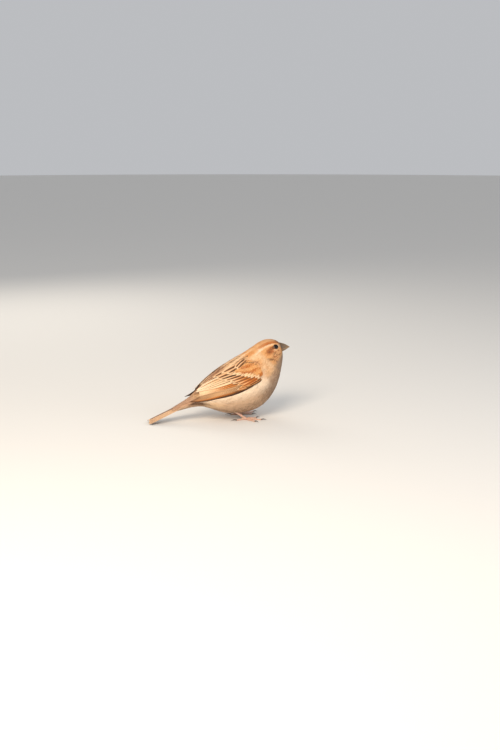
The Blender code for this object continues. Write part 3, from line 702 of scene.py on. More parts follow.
def stamp_vanes(name, shape_set, table, material, thickness, flare=None, patch=None, place=None, soft=False):
    """One joined mesh of all the feathers of a table, each the shape of one of the templates."""
    pick = np.arange(len(table["root_u"])) % len(shape_set)
    bake_at = bake_places(table, patch)
    made = {key: [] for key in ("verts", "corners", "level", "normal")}
    colours, maps = {"web": [], "streak": [], "fringe": []}, {"OFBake": [], "vane": [], "barbs": []}
    start = 0
    for k, shape in enumerate(shape_set):
        rows = {key: value[pick == k] for key, value in table.items()}
        col = {key: rows[key][:, None] for key in PLACES}
        n, m, x, y = len(rows["web"]), len(shape.x), shape.out_x, shape.out_y
        half = np.where(x < 0, col["half_out"], col["half_in"])
        u, a = mix(col["root_u"], col["tip_u"], y), mix(col["root_a"], col["tip_a"], y)
        side = np.sign(col["root_a"] + 1e-6)
        per_degree = 1.0 if place else FORM.look_up(FORM.mm_per_degree, u, a)[..., 0]
        a = a + side * -(x * half + col["curl"] * y**2) / per_degree
        lift = mix(col["root_h"], col["tip_h"], ramp(y, -0.35, 1.0) * 1.12 - 0.12)
        lift = lift - col["camber"] * x**2 * half - thickness * shape.under
        if flare:
            lift = lift + flare(u)
        verts = (place or FORM.place)(u, a, lift)
        made["verts"].append(verts.reshape(-1, 3))
        made["level"].append(np.tile(shape.under, n))
        if soft:
            made["normal"].append(FORM.normal(u, a).reshape(-1, 3))
        faces = shape.faces[None] + (start + np.arange(n) * m)[:, None, None]
        mirrored = side[:, 0] > 0  # a mirrored vane has its corners turned round, so its faces stay outward
        faces[mirrored] = faces[mirrored][:, :, ::-1]
        made["corners"].append(faces.reshape(-1, 4))
        start += n * m
        length = np.linalg.norm(verts.max(1) - verts.min(1), axis=-1)
        unit = np.stack([shape.x, shape.y], -1)
        maps["vane"].append(np.tile(unit, (n, 1)))
        maps["barbs"].append(np.stack([x * half, y * length[:, None]], -1).reshape(-1, 2))
        across_patch = unit * (0.5, 1) * (patch or BODY_PATCH)
        maps["OFBake"].append((bake_at[pick == k][:, None] + across_patch).reshape(-1, 2))
        painted_underside_shade = np.tile(1 - (0 if soft else 0.5) * shape.under, n)[:, None]  # painted shade: firm feathers are darker underneath and on their edges
        for key in colours:
            tinted = np.repeat(rows[key], m, axis=0)
            tinted[:, :3] *= painted_underside_shade
            colours[key].append(tinted)
    verts, faces, level = (np.concatenate(made[key]) for key in ("verts", "corners", "level"))
    mesh = bpy.data.meshes.new(name)
    mesh.vertices.add(len(verts))
    mesh.vertices.foreach_set("co", (verts * MM + np.array(ORIGIN)).astype(np.float32).ravel())
    mesh.loops.add(faces.size)
    mesh.loops.foreach_set("vertex_index", faces.astype(np.int32).ravel())
    mesh.polygons.add(len(faces))
    mesh.polygons.foreach_set("loop_start", np.arange(0, faces.size, 4, dtype=np.int32))
    mesh.update(calc_edges=True)
    mesh.shade_smooth()
    if soft:
        soften(mesh, faces, level, np.concatenate(made["normal"]))
    for key, parts in colours.items():
        layer = mesh.attributes.new(key, "FLOAT_COLOR", "POINT")
        layer.data.foreach_set("color", np.concatenate(parts).astype(np.float32).ravel())
    for key, parts in maps.items():
        layer = mesh.uv_layers.new(name=key)
        layer.data.foreach_set("uv", np.concatenate(parts)[faces.ravel()].astype(np.float32).ravel())
    print(f"{name}: {len(pick)} feathers, {2 * len(faces)} triangles")
    return link(name, mesh, material)


# ---------------------------------------------------------------- materials
class Value:
    """An output of a node. Arithmetic with it makes the nodes that do the sum."""

    def __init__(self, nodes, socket):
        self.nodes, self.socket = nodes, socket

    def __add__(self, other):
        return self.nodes.math("ADD", self, other)

    def __sub__(self, other):
        return self.nodes.math("SUBTRACT", self, other)

    def __rsub__(self, other):
        return self.nodes.math("SUBTRACT", other, self)

    def __mul__(self, other):
        return self.nodes.math("MULTIPLY", self, other)

    def __pow__(self, other):
        return self.nodes.math("POWER", self, other)

    def __abs__(self):
        return self.nodes.math("ABSOLUTE", self)


class Nodes:
    """A small helper that builds a material's node tree."""

    def __init__(self, name, **constants):
        self.material = bpy.data.materials.new(name)
        self.material.use_nodes = True
        self.tree = self.material.node_tree
        self.shader = self.tree.nodes["Principled BSDF"]
        for key, value in constants.items():
            self.shader.inputs[key.replace("_", " ").title().replace("Ior", "IOR")].default_value = value

    def join(self, source, target):
        if isinstance(source, Value):
            self.tree.links.new(source.socket, target)
        else:
            target.default_value = (*source, 1.0) if isinstance(source, (tuple, Color)) else source

    def add(self, kind, inputs, outputs=(0,), **settings):
        """A new node with its inputs, by number or name, set or joined. Returns its outputs as values."""
        made = self.tree.nodes.new(kind)
        for key, value in settings.items():
            setattr(made, key, value)
        for key, value in inputs.items():
            self.join(value, made.inputs[key])
        values = [Value(self, made.outputs[key]) for key in outputs]
        return values if len(values) > 1 else values[0]

    def math(self, operation, first, second=0.0):
        return self.add("ShaderNodeMath", {0: first, 1: second}, operation=operation)

    def step(self, value, low, high):
        """0 below low, 1 above high, and smooth between."""
        return self.add("ShaderNodeMapRange", {0: value, 1: low, 2: high}, interpolation_type="SMOOTHSTEP")

    def mix(self, factor, first, second, blend="MIX"):
        return self.add("ShaderNodeMix", {0: factor, 6: first, 7: second}, (2,), data_type="RGBA",
                        blend_type=blend)

    def half_way(self, first, *values):
        """Half way from a colour to another, which is given as a screen shows it."""
        return self.mix(0.5, first, srgb(*values))

    def noise(self, scale, detail=2.0, vector=None):
        vector = vector or self.add("ShaderNodeTexCoord", {}, ("Object",))
        return self.add("ShaderNodeTexNoise", {"Scale": scale, "Detail": detail, "Vector": vector}, ("Fac",))

    def attribute(self, name, *outputs):
        return self.add("ShaderNodeAttribute", {}, outputs, attribute_name=name)

    def uv(self, name):
        return self.add("ShaderNodeSeparateXYZ", {0: self.add("ShaderNodeUVMap", {}, uv_map=name)}, (0, 1))

    def finish(self, colour, height=None, distance=0.0, strength=1.0):
        """Joins the colour and the bump, whose distance is in metres, and returns the material."""
        self.join(colour, self.shader.inputs["Base Color"])
        if height:
            bump = self.add("ShaderNodeBump", {"Strength": strength, "Distance": distance, "Height": height})
            self.join(bump, self.shader.inputs["Normal"])
        return self.material


def plumage_material(name, ragged, barb_angle, shaft_strength, roughness, barbs=1.0, strands_per_mm=3.4,
                     taper=4.0, tip_power=1.5):
    """Feather web with a streak down the middle, a fringe round the edge, slanting barbs and a shaft."""
    n = Nodes(name, roughness=roughness, sheen_weight=0.08, sheen_roughness=0.5, specular_ior_level=0.25)
    web, fade, level = n.attribute("web", "Color", "Alpha", "Fac")
    streak, streak_width = n.attribute("streak", "Color", "Alpha")
    fringe, fringe_width = n.attribute("fringe", "Color", "Alpha")
    (across, along), (from_shaft, down) = n.uv("vane"), n.uv("barbs")
    across, from_shaft = abs(across), abs(from_shaft)
    sine, cosine = math.sin(math.radians(barb_angle)), math.cos(math.radians(barb_angle))
    over_barbs, along_barbs = down * sine - from_shaft * cosine, down * cosine + from_shaft * sine
    strands = n.noise(1.5, 3.0, n.add("ShaderNodeCombineXYZ", {
        0: over_barbs * strands_per_mm, 1: along_barbs * 0.35, 2: level * 40.0}))
    fray = (strands - 0.5) * ragged
    frayed = across + fray
    width = streak_width * (1.0 - along**taper)
    in_streak = (1.0 - n.step(frayed, width - 0.12, width + 0.1)) * n.step(streak_width, 0.0, 0.08)
    inner = 1.0 - fringe_width
    reach = n.math("MAXIMUM", frayed, along**tip_power + fray * 0.4)
    in_fringe = n.step(reach, inner - 0.1, inner + 0.08) * n.step(fringe_width, 0.0, 0.03)
    tint = n.mix(n.step(along + fray, 0.35, 0.9) * fade, web, fringe)
    tint = n.mix(in_fringe, n.mix(in_streak, tint, streak), fringe)
    ridge = n.math("SINE", over_barbs * (2 * math.pi / plumage().barb_pitch)) * 0.5 + 0.5
    base = n.step(along, 0.0, 0.75)  # the downy base is greyer and darker: partly its own colour and partly painted shade under the overlapping feathers
    shade = ridge * (0.08 * barbs) + (base * 0.14 + 0.84) + (strands - 0.5) * 0.5
    tint = n.mix(1.0, tint, n.add("ShaderNodeCombineColor", {0: shade, 1: shade, 2: shade}), "MULTIPLY")
    on_shaft = 1.0 - n.step(from_shaft, 0.03, 0.11)
    tint = n.mix(on_shaft * shaft_strength, tint, n.half_way(tint, 70, 42, 24))
    return n.finish(tint, ridge * barbs + strands * 1.6 + on_shaft * 1.5, 0.00004, 0.5)


def skin_material():
    """Bare skin and down under the feathers, in the coat's own colours."""
    n = Nodes("skin", roughness=0.9, specular_ior_level=0.2)
    web, grain = n.attribute("web", "Color"), n.noise(2200, 3.0)
    return n.finish(n.mix(grain * 0.55, web, n.half_way(web, 90, 66, 50)), grain, 0.00015, 0.5)


def horn_material():
    """Horn that pales towards its tip and edges, with a painted highlight along the culmen and painted shade in
    the nostrils; the weights are the piece's own attribute.
    """
    look = hard_parts()
    n = Nodes("bill_horn", roughness=0.38, coat_weight=0.15, coat_roughness=0.3)
    tip_and_culmen_highlight, to_edge, pit = n.add("ShaderNodeSeparateColor", {0: n.attribute("zones", "Color")}, (0, 1, 2))
    # the tip's weight also carries the painted highlight along the culmen
    tint = n.mix(to_edge, n.mix(tip_and_culmen_highlight, look.bill, look.bill_tip), look.bill_edge)
    # painted shade: the nostrils' pits are painted near black
    tint = n.mix(n.step(pit, 0.25, 0.5), tint, srgb(24, 17, 12))
    streaks = n.noise(900, 4.0)
    tint = n.mix(n.step(streaks, 0.45, 0.75) * 0.35, tint, n.half_way(tint, 40, 28, 20))
    return n.finish(tint, streaks, 0.00008, 0.4)


def eye_material():
    look = hard_parts()
    n = Nodes("eye", roughness=0.05, specular_ior_level=0.25)
    iris = n.mix(n.noise(2600, 3.0), look.iris, n.half_way(look.iris, 104, 60, 34))
    return n.finish(n.mix(n.step(n.attribute("zones", "Fac"), 0.34, 0.4), srgb(6, 5, 5), iris))


def lid_material():
    look = hard_parts()
    n = Nodes("lid", roughness=0.6)
    beads = n.noise(3200, 2.0)
    tint = n.mix(n.step(beads, 0.4, 0.65), look.lid, n.half_way(look.lid, 70, 52, 42))
    return n.finish(tint, beads, 0.0001, 0.6)


def leg_material():
    look = hard_parts()
    n = Nodes("leg_scales", roughness=0.48, subsurface_weight=0.12, subsurface_scale=0.0006)
    tint = n.mix(n.attribute("zones", "Fac") * 0.75, look.leg, look.leg_groove)
    tint = n.mix(n.noise(700, 3.0) * 0.25, tint, srgb(176, 120, 96))
    return n.finish(tint, n.noise(5200, 2.0), 0.00004, 0.5)


def claw_material():
    look = hard_parts()
    n = Nodes("claw_horn", roughness=0.3, coat_weight=0.2, coat_roughness=0.2)
    tint = n.mix(n.attribute("zones", "Fac"), n.half_way(look.claw, 120, 92, 74), look.claw)
    return n.finish(tint, n.noise(1800, 2.0), 0.00005, 0.3)


# ---------------------------------------------------------------- the body's feathers
# Body tracts: first and last station; side, in degrees from the spine; length, half width and spacing
# (mm) at the first and last station; degrees of splay; the kind of vane.
TRACTS = {
    "lore_tufts": ((0.0, 2.2), (0, 180), (1.1, 1.7), (0.28, 0.43), (0.25, 0.33), 12, "fine"),
    "face_tufts": ((2.2, 3.9), (0, 180), (1.8, 2.6), (0.45, 0.6), (0.34, 0.42), 10, "fine"),
    "head_tufts": ((3.9, 5.8), (0, 180), (2.8, 3.8), (0.6, 0.9), (0.46, 0.6), 8, "fine"),
    "neck_feathers": ((5.8, 7.7), (0, 180), (4.2, 5.6), (1.0, 1.4), (0.64, 0.8), 9, "soft"),
    "mantle_feathers": ((7.7, 15.6), (0, 62), (6.4, 6.8), (1.5, 1.7), (0.85, 0.9), 6, "soft"),
    "breast_feathers": ((7.7, 11.4), (62, 180), (5.8, 7.0), (1.3, 1.6), (0.86, 1.0), 12, "loose"),
    "belly_feathers": ((11.4, 15.6), (62, 180), (7.4, 7.6), (1.6, 1.7), (1.0, 1.0), 12, "loose"),
    "tail_covert_feathers": ((15.6, 17.6), (0, 180), (8.0, 8.4), (1.4, 1.5), (0.8, 0.8), 5, "soft"),
}
BODY_PATCH = 0.003  # of the bake map, for each body feather
TRIES = 14  # how many places are tried for each root that fits
FRINGE_PALE = np.array([1.0, 0.9, 0.78])


def scatter(u_range, spacing, keep, seed):
    """Roots spread evenly over the form: no two nearer than spacing(u). Returns u and angle arrays."""
    rng = np.random.default_rng(seed)
    rows = (FORM.u[:-1] >= u_range[0]) & (FORM.u[:-1] < u_range[1])
    area = (FORM.mm_per_u * FORM.mm_per_degree)[:-1, :-1, 0][rows] / FORM.U_STEPS
    u_grid, a_grid = np.meshgrid(FORM.u[:-1][rows], FORM.angle[:-1], indexing="ij")
    weight = area / spacing(u_grid) ** 2 * keep(u_grid, a_grid)
    count = int(weight.sum() * TRIES * 0.7)
    cell = rng.choice(weight.size, count, p=weight.ravel() / weight.sum())
    u = u_grid.ravel()[cell] + rng.random(count) / FORM.U_STEPS
    a = a_grid.ravel()[cell] + rng.random(count)
    gaps = spacing(u)
    cube = float(gaps.max())
    taken, kept = {}, []
    around = [(i, j, k) for i in (-1, 0, 1) for j in (-1, 0, 1) for k in (-1, 0, 1)]
    for index, (point, gap) in enumerate(zip(FORM.point(u, a).tolist(), gaps.tolist())):
        home = tuple(int(c // cube) for c in point)
        near = (q for way in around for q in taken.get(tuple(map(sum, zip(home, way))), ()))
        if all(math.dist(point, q) >= gap for q in near):
            taken.setdefault(home, []).append(point)
            kept.append(index)
    return u[kept], a[kept]


def on_wing_bed(u, a):
    """True under the folded wing, where nothing shows and no body feathers grow."""
    above = wing_edge(u) - np.where(a < 0, 0.0, WING_RAISE * ramp(u, *WING_RAISE_SPAN)) - np.abs(a)
    top = np.interp(u, (6.9, 7.4, 7.8, 9.0, 12.2, 12.6, 15.5), (20.0, 46.0, 62.0, 60.0, 57.0, 43.0, 41.0))
    front = np.interp(above, (0.0, 12.0, 24.0, 46.0, 70.0), (8.5, 7.6, 7.3, 7.2, 7.9))
    return (u > front) & (u < 14.0) & (above > 1.0) & (above < top)


def lay_tract(name, seed):
    """Feathers of one tract, with the coat's markings, kept off the eyes and below the wing's edge."""
    u_range, side, length, half, spacing, splay, _ = TRACTS[name]

    def at(pair, u):
        return mix(*pair, (u - u_range[0]) / (u_range[1] - u_range[0]))

    def keep(u, a):
        inside = (np.abs(a) >= side[0]) & (np.abs(a) <= side[1]) & ~on_wing_bed(u, a)
        for eye in EYES.values():
            inside = inside & (np.linalg.norm(FORM.point(u, a) - np.array(eye), axis=-1) > EYE_CLEAR)
        return inside

    rng = np.random.default_rng(seed + 100)
    u, a = scatter(u_range, lambda u: at(spacing, u), keep, seed)
    count = len(u)
    length = at(length, u) * rng.uniform(0.85, 1.15, count)
    half = at(half, u) * rng.uniform(1.0, 1.35, count)
    lean = np.radians(rng.normal(0, splay, count))
    tip_u, tip_a = keep_off_eyes(*FORM.walk(u, a, length * np.cos(lean), length * np.sin(lean)))
    by_eye = fall(np.minimum(*eye_gaps(u, a)), 2.2, 3.8)  # roots lie high beside the lids
    depth = coat_depth(u)
    marks = MarkingsAndPaintedLight(np.minimum(mix(u, tip_u, 0.6), LAST_U + 1), mix(a, tip_a, 0.6))
    shade = rng.normal(1.0, 0.03, (count, 1)) + 0.04 * marks.fine[:, None]
    below = np.abs(tip_a) - wing_edge(tip_u)  # tuck the flank under the wing's edge
    tuck = fall(below, 1, 9) * ramp(below, -30, -10) * ramp(u, 7.5, 9.0)
    return feathers(
        *(np.clip(tint * shade, 0, 1) for tint in (marks.web, marks.streak, mix(marks.web, FRINGE_PALE, 0.18))),
        marks.streak_width, 0.0, 0.25,
        root_u=u, root_a=a, tip_u=tip_u, tip_a=tip_a, half_out=half, half_in=half,
        root_h=-depth * (0.6 - 0.5 * by_eye), tip_h=depth * rng.normal(-0.03, 0.04, count) - 0.8 * tuck,
        camber=rng.uniform(0.05, 0.16, count), curl=rng.normal(0, 0.06, count) * length,
    )


# ---------------------------------------------------------------- operators
class SPARROW_OT_skin(bpy.types.Operator):
    """Build the one skin under the coat, from the bill's root to the tail"""

    bl_idname = "sparrow.skin"
    bl_label = "Skin"

    def execute(self, context):
        def place(around, along):
            u = np.array([along * LAST_U])
            point = FORM.place(u, np.array([around * 360 - 180]), -coat_depth(u))[0]
            for eye in EYES.values():
                if np.linalg.norm(point - np.array(eye)) < EYE_BALL + 0.1:
                    point = np.array(eye) * 0.35 + point * 0.65  # the socket's wall runs behind the ball
                    point[1] *= 0.86
            return Vector(point)

        bm = wrapped_grid(128, 150, place)
        bmesh.ops.triangulate(bm, faces=[f for f in bm.faces if len(f.verts) > 4])
        piece = object_from(bm, "skin", skin_material())
        self.colour(piece)
        dress(piece, "plumage_pale", "head", "neck", "trunk", "rump")
        return {"FINISHED"}

    def colour(self, piece):
        """Gives the skin the coat's markings, vertex by vertex, from the nearest place on the form."""
        points = np.array([(v.co - ORIGIN) / MM for v in piece.data.vertices])
        some_u, some_angles = FORM.u[::4], FORM.angle[::3]
        flat = FORM.points[::4, ::3].reshape(-1, 3)
        nearest = np.array([np.argmin(((flat - p) ** 2).sum(-1)) for p in points])
        row, column = np.divmod(nearest, len(some_angles))
        marks = MarkingsAndPaintedLight(np.minimum(some_u[row], LAST_U), some_angles[column])
        layer = piece.data.attributes.new("web", "FLOAT_COLOR", "POINT")
        web = np.hstack([marks.web * 0.8, np.ones((len(points), 1))])
        layer.data.foreach_set("color", web.astype(np.float32).ravel())


class SPARROW_OT_body_coat(bpy.types.Operator):
    """Lay the body feathers: face, head, neck, mantle, back, breast, belly and tail coverts"""

    bl_idname = "sparrow.body_coat"
    bl_label = "Body coat"

    def execute(self, context):
        kinds = {
            "fine": shapes((1, 2, 3), 2, 6, fray=0.2, narrow=0.4),
            "soft": shapes((4, 5, 6, 7), 2, 9, fray=0.12, narrow=0.35),
            "loose": shapes((8, 9, 10, 11), 2, 9, fray=0.17, narrow=0.3, blunt=0.4),
        }
        material = plumage_material("plumage_soft", 0.7, 16, 0.12, 0.85, 0.0, 9.0)
        for seed, (name, tract) in enumerate(TRACTS.items(), 11):
            kind = tract[-1]
            piece = stamp_vanes(name, kinds[kind], lay_tract(name, seed), material,
                                plumage().tuft_thickness, soft=True)
            dress(piece, "plumage_grey_buff" if kind == "loose" else "plumage_brown")
        return {"FINISHED"}


def lay_row(side, rng, count, root, tip, above_root, above_tip, half, height, step, web, streak, fringe,
            widths, fade=(0.0,), vary=0.0):
    """A row of wing feathers, from its lowest to its highest, each upper one lying on its neighbour.

    Stations of roots and tips, degrees above the wing's edge, half widths (upper web, lower web) and
    heights (root, tip) in mm: each a sequence spread evenly over the row. Colours are names.
    """
    b = (np.arange(count) + 0.5) / count

    def spread(values):
        return np.interp(b, np.linspace(0, 1, len(values)), values)

    def jitter(size):
        return rng.normal(0, size, count)

    def tones(names):
        return np.stack([spread(channel) for channel in zip(*map(tone, names))], -1)

    root_u, tip_u = spread(root) + jitter(0.02), spread(tip) + jitter(0.04 + vary)
    shade = 1 + jitter(0.05)[:, None]
    return feathers(
        np.clip(tones(web) * shade, 0, 1), tones(streak) * shade, np.clip(tones(fringe) * shade, 0, 1),
        spread(widths[0]), spread(widths[1]), spread(fade), root_u=root_u, tip_u=tip_u,
        root_a=wing_angle(root_u, spread(above_root), side),
        tip_a=wing_angle(tip_u, spread(above_tip) + jitter(4 * vary), side),
        half_in=spread(half[0]), half_out=spread(half[1]), root_h=spread(height[0]),
        tip_h=spread(height[1]) + step * np.arange(count), camber=0.08,
    )


WING_ROWS = {
    # The lowest primaries are dark: partly the feathers' own brown and partly painted shade along the wing's
    # lower edge.
    "primaries": [
        (9, (9.6, 9.8), (16.4, 15.8, 15.2, 14.6), (0.3, 12), (0.6, 6, 12, 18), ((1.0, 1.3), (0.9, 2.2)),
         ((0.0, -0.2), (0.1, 0.0)), 0.07, ("dark", "olive", "crown", "buff", "buff", "buff"),
         ("dark", "olive"), ("dark", "olive", "breast", "breast", "olive", "breast", "breast"),
         ((0.6, 0.2, 0.1, 0.12, 0.12), (0.1, 0.12, 0.16)), (0.0, 0.4, 0.6))],
    "secondaries": [
        (5, (9.7, 9.8), (14.5, 13.9), (12, 34), (19, 39), ((1.6, 2.0), (2.4, 2.6)),
         ((-0.3, 0.1), (0.2, 0.35)), 0.10, ("gold", "crown", "crown", "gold"), ("olive", "dark"),
         ("cream", "cream"), ((0.1, 0.16), (0.2, 0.24)), (0.9, 1.0))],
    "tertials": [
        (4, (9.7, 9.8), (13.0, 13.7, 14.4, 13.8), (27, 50), (27, 49), ((2.2, 2.7), (2.6, 2.9)),
         ((0.5, 0.6), (1.15, 1.2)), 0.08, ("cream", "cream", "buff"), ("olive", "breast", "olive"),
         ("cream", "white"), ((0.2, 0.08, 0.16), (0.24, 0.3)), (0.5, 0.5))],
    "greater_coverts": [
        (6, (8.3, 8.75, 9.3), (10.6, 10.75, 11.4), (7, 42), (4, 43), ((1.9, 2.4), (2.1, 2.7)),
         ((0.45, 0.6), (1.1, 1.25)), 0.07, ("crown", "crown", "buff"), ("rufous", "olive", "dark"),
         ("gold", "cream", "cream"), ((0.5, 0.34, 0.36), (0.24, 0.26, 0.3)), (0.5, 0.5), 0.06),
        (8, (7.5, 8.3), (8.75, 9.15, 10.15), (8, 45), (8, 43), ((1.6, 2.0), (1.6, 2.0)),
         ((-0.5, 0.3), (1.05, 1.4)), 0.02, ("buff", "gold"), ("crown", "rufous"), ("cream",),
         ((0.08, 0.12), (0.3, 0.34)), (0.8, 0.9), 0.05)],
    "alula": [
        (5, (9.7, 9.7), (11.4, 10.9), (0.5, 6), (0.5, 6), ((0.8, 0.9), (0.9, 1.2)),
         ((0.2, 0.3), (0.6, 0.7)), 0.05, ("dark", "crown", "crown"), ("dark", "olive"),
         ("olive", "cream"), ((0.6, 0.3, 0.2), (0.1, 0.2, 0.3))),
        (4, (8.45, 8.4), (10.3, 9.9), (0.3, 6), (0.8, 6), ((0.8, 0.9), (1.0, 1.3)),
         ((-0.5, -0.2), (1.15, 1.35)), 0.05, ("dark", "olive", "rufous"), ("dark", "dark"),
         ("dark", "gold"), ((0.6, 0.3), (0.1, 0.26)))],
}

# Scapulars: count, stations of roots and tips, degrees above the wing's edge, heights (root, tip).
SCAPULAR_ROWS = (
    (3, (9.9, 10.1), (12.7, 13.3), (42, 66), (41, 62), -0.3, 0.8),
    (2, (8.7, 9.0), (11.2, 11.9), (43, 66), (42, 61), 0.2, 1.15),
    (2, (7.9, 8.1), (10.2, 10.6), (46, 65), (44, 60), -0.1, 1.15),
    (2, (7.2, 7.3), (9.2, 9.5), (49, 66), (47, 61), -0.5, 1.1),
)
COVERT_SPACING = 0.72
WING_PATCH, TAIL_PATCH = 0.02, 0.05  # of the bake map, for each feather


class SPARROW_OT_wings(bpy.types.Operator):
    """Lay both folded wings, row by row, with the small coverts and the scapulars"""

    bl_idname = "sparrow.wings"
    bl_label = "Wings"

    def execute(self, context):
        flight = shapes((21, 22, 23), 30, 10, root=0.6, narrow=0.45, blunt=0.09, fray=0.004, splits=3)
        broad = shapes((24, 25, 26), 20, 12, root=0.5, narrow=0.35, blunt=0.22, fray=0.012, splits=2)
        small = shapes((51, 52, 53), 2, 9, fray=0.08, narrow=0.3, blunt=0.45)
        firm = plumage_material("plumage_firm", 0.3, 42, 0.6, 0.6, taper=6.0, tip_power=3.0)
        soft = plumage_material("plumage_covert", 0.5, 28, 0.25, 0.8, 0.3, 6.0)
        thick = plumage().vane_thickness
        rng = np.random.default_rng(31)
        for side_name, side in SIDES.items():
            for group, rows in WING_ROWS.items():
                table = joined([lay_row(side, rng, *row) for row in rows])
                piece = stamp_vanes(
                    f"{side_name}_{group}", broad if group in ("tertials", "greater_coverts") else flight,
                    table, firm, thick, wing_flare, WING_PATCH)
                slot = "feather_rufous" if group in ("secondaries", "greater_coverts") else "feather_brown"
                dress(piece, slot, f"wing_{side_name}_{group}")
            piece = stamp_vanes(f"{side_name}_scapulars", broad, self.scapulars(side, rng), firm, thick,
                                patch=WING_PATCH)
            dress(piece, "plumage_brown", f"wing_{side_name}_scapulars")
            piece = stamp_vanes(f"{side_name}_lesser_coverts", small, self.lesser_coverts(side), soft,
                                plumage().tuft_thickness, soft=True)
            dress(piece, "plumage_brown", f"wing_{side_name}_shoulder")
        return {"FINISHED"}

    def lesser_coverts(self, side):
        """The rounded small coverts that cushion the bend of the wing."""
        def keep(u, a):
            above = wing_edge(u) - np.abs(a)
            upper = np.interp(above, (0, 12, 26, 40, 52), (7.85, 7.85, 8.0, 8.75, 9.1))
            front = np.interp(above, (0, 6, 12, 24, 46, 52), (8.2, 7.6, 7.25, 7.0, 7.05, 7.4))
            return (np.sign(a) == side) & (above > 3) & (above < 51) & (u > front) & (u < upper)

        u, a = scatter((6.8, 9.5), lambda u: COVERT_SPACING + 0 * u, keep, 41 + side)
        rng = np.random.default_rng(43)
        count = len(u)
        length = rng.uniform(3.7, 4.5, count)
        lean = np.radians(rng.normal(0, 7, count))
        tip_u, tip_a = FORM.walk(u, a, length * np.cos(lean), length * np.sin(lean))
        above = wing_edge(u) - np.abs(a)
        bands = np.sin((above - 15 * (u - 7.5)) * 2 * np.pi / 17) + 0.6 * MarkingsAndPaintedLight(u, a).streaky
        warm = ramp(bands, -0.7, 0.8)[:, None]
        back = ramp(u, 7.1, 7.8)[:, None]  # paler beside the breast
        web = mix(tone("gold"), tone("crown"), 0.2 + (0.35 + 0.4 * back) * warm)
        web = mix(web, tone("rufous"), 0.55 * back * ramp(bands, 0.2, 1.2)[:, None])
        # painted shadow: the dark line at the front edge of the wing, on the small coverts
        web = mix(web, tone("dark"), 0.7 * near_line(u, np.abs(a), SHOULDER_SHADOW_LINE, 0.16, 2.2)[:, None])
        shade = rng.normal(1.0, 0.035, (count, 1))
        dome = ramp(u, 7.0, 8.3) * ramp(above, -4, 10)
        return feathers(
            np.clip(web * shade, 0, 1), np.tile(tone("rufous"), (count, 1)),
            np.clip(mix(web, tone("cream"), 0.3) * shade, 0, 1), 0.2 * warm[:, 0], 0.15, 0.3,
            root_u=u, root_a=a, tip_u=tip_u, tip_a=tip_a, half_out=1.0, half_in=1.0,
            root_h=-0.6 + 1.35 * dome, tip_h=0.2 + 1.3 * dome + rng.normal(0, 0.04, count), camber=0.1,
        )

    def scapulars(self, side, rng):
        """The long feathers that fall from the shoulder over the wing's upper edge."""
        tables = []
        for count, root, tip, above_root, above_tip, low, high in SCAPULAR_ROWS:
            b = (np.arange(count) + 0.5) / count
            root_u, tip_u = mix(*root, b), mix(*tip, b) + rng.normal(0, 0.1, count)
            root_a = wing_angle(root_u, mix(*above_root, b), side)
            tip_a = wing_angle(tip_u, mix(*above_tip, b) + rng.normal(0, 0.4, count), side)
            web = MarkingsAndPaintedLight(mix(root_u, tip_u, 0.7), mix(root_a, tip_a, 0.7)).web
            tables.append(feathers(
                mix(web, tone("crown"), 0.55), mix(tone("olive"), tone("dark"), 0.4) + 0 * web,
                mix(web, tone("cream"), 0.8), rng.uniform(0.34, 0.44, count), 0.3, 0.4,
                root_u=root_u, root_a=root_a, tip_u=tip_u, tip_a=tip_a, half_out=2.8, half_in=2.8,
                root_h=low, tip_h=high - 0.5 * b, camber=0.1,
            ))
        return joined(tables)


class SPARROW_OT_tail(bpy.types.Operator):
    """Lay the twelve tail feathers, the middle pair on top"""

    bl_idname = "sparrow.tail"
    bl_label = "Tail"

    def execute(self, context):
        line = TAIL_TIP_AT - TAIL_ROOT_AT
        up = Vector((line.y, -line.x)).normalized()
        length = line.length

        def place(s, y, height):
            """A place on the tail: mm from its root, mm to the left, height over the tail's plane."""
            half = mix(*TAIL_HALF_WIDTH, ramp(s / length, 0.0, 1.1))
            sag = 1.5 * np.clip(np.abs(y) / half, 0, 1) ** 2
            x = TAIL_ROOT_AT.x + line.x * s / length + up.x * (height - sag)
            z = TAIL_ROOT_AT.y + line.y * s / length + up.y * (height - sag)
            return np.stack([x, y, z], -1)

        rng = np.random.default_rng(81)
        tables = []
        for i in reversed(range(RECTRICES_PER_SIDE)):
            share = ((i + 0.3) / RECTRICES_PER_SIDE) ** 0.8
            end = length - TAIL_NOTCH * (1 - (i / (RECTRICES_PER_SIDE - 1)) ** 1.5)
            lift = 0.1 + 0.13 * (RECTRICES_PER_SIDE - i)
            web = mix(tone("tail"), tone("tail_dark"), 0.5 + 0.12 * (i == 0))
            for side in SIDES.values():
                root, tip = side * np.maximum(share * np.array(TAIL_HALF_WIDTH) - 0.9, 0.35)
                shade = rng.normal(1.0, 0.03)
                tables.append(feathers(
                    web[None] * shade, tone("tail_dark")[None],
                    mix(tone("tail"), tone("cream"), 0.6)[None] * shade, 0.14, 0.3, 0.0,
                    root_u=2.0, root_a=root + 0.001 * side, tip_u=end, tip_a=tip,
                    half_out=2.1 if i else 2.3, half_in=1.0 if i else 1.9,
                    root_h=lift - 0.1, tip_h=lift, camber=0.05,
                ))
        vanes = shapes((91, 92, 93), 34, 10, root=0.7, narrow=0.3, blunt=0.06, fray=0.002)
        material = plumage_material("plumage_tail", 0.25, 42, 0.7, 0.6, taper=16.0, tip_power=12.0)
        piece = stamp_vanes("tail_feathers", vanes, joined(tables), material, plumage().vane_thickness,
                            patch=TAIL_PATCH, place=place)
        dress(piece, "feather_brown", "tail")
        return {"FINISHED"}


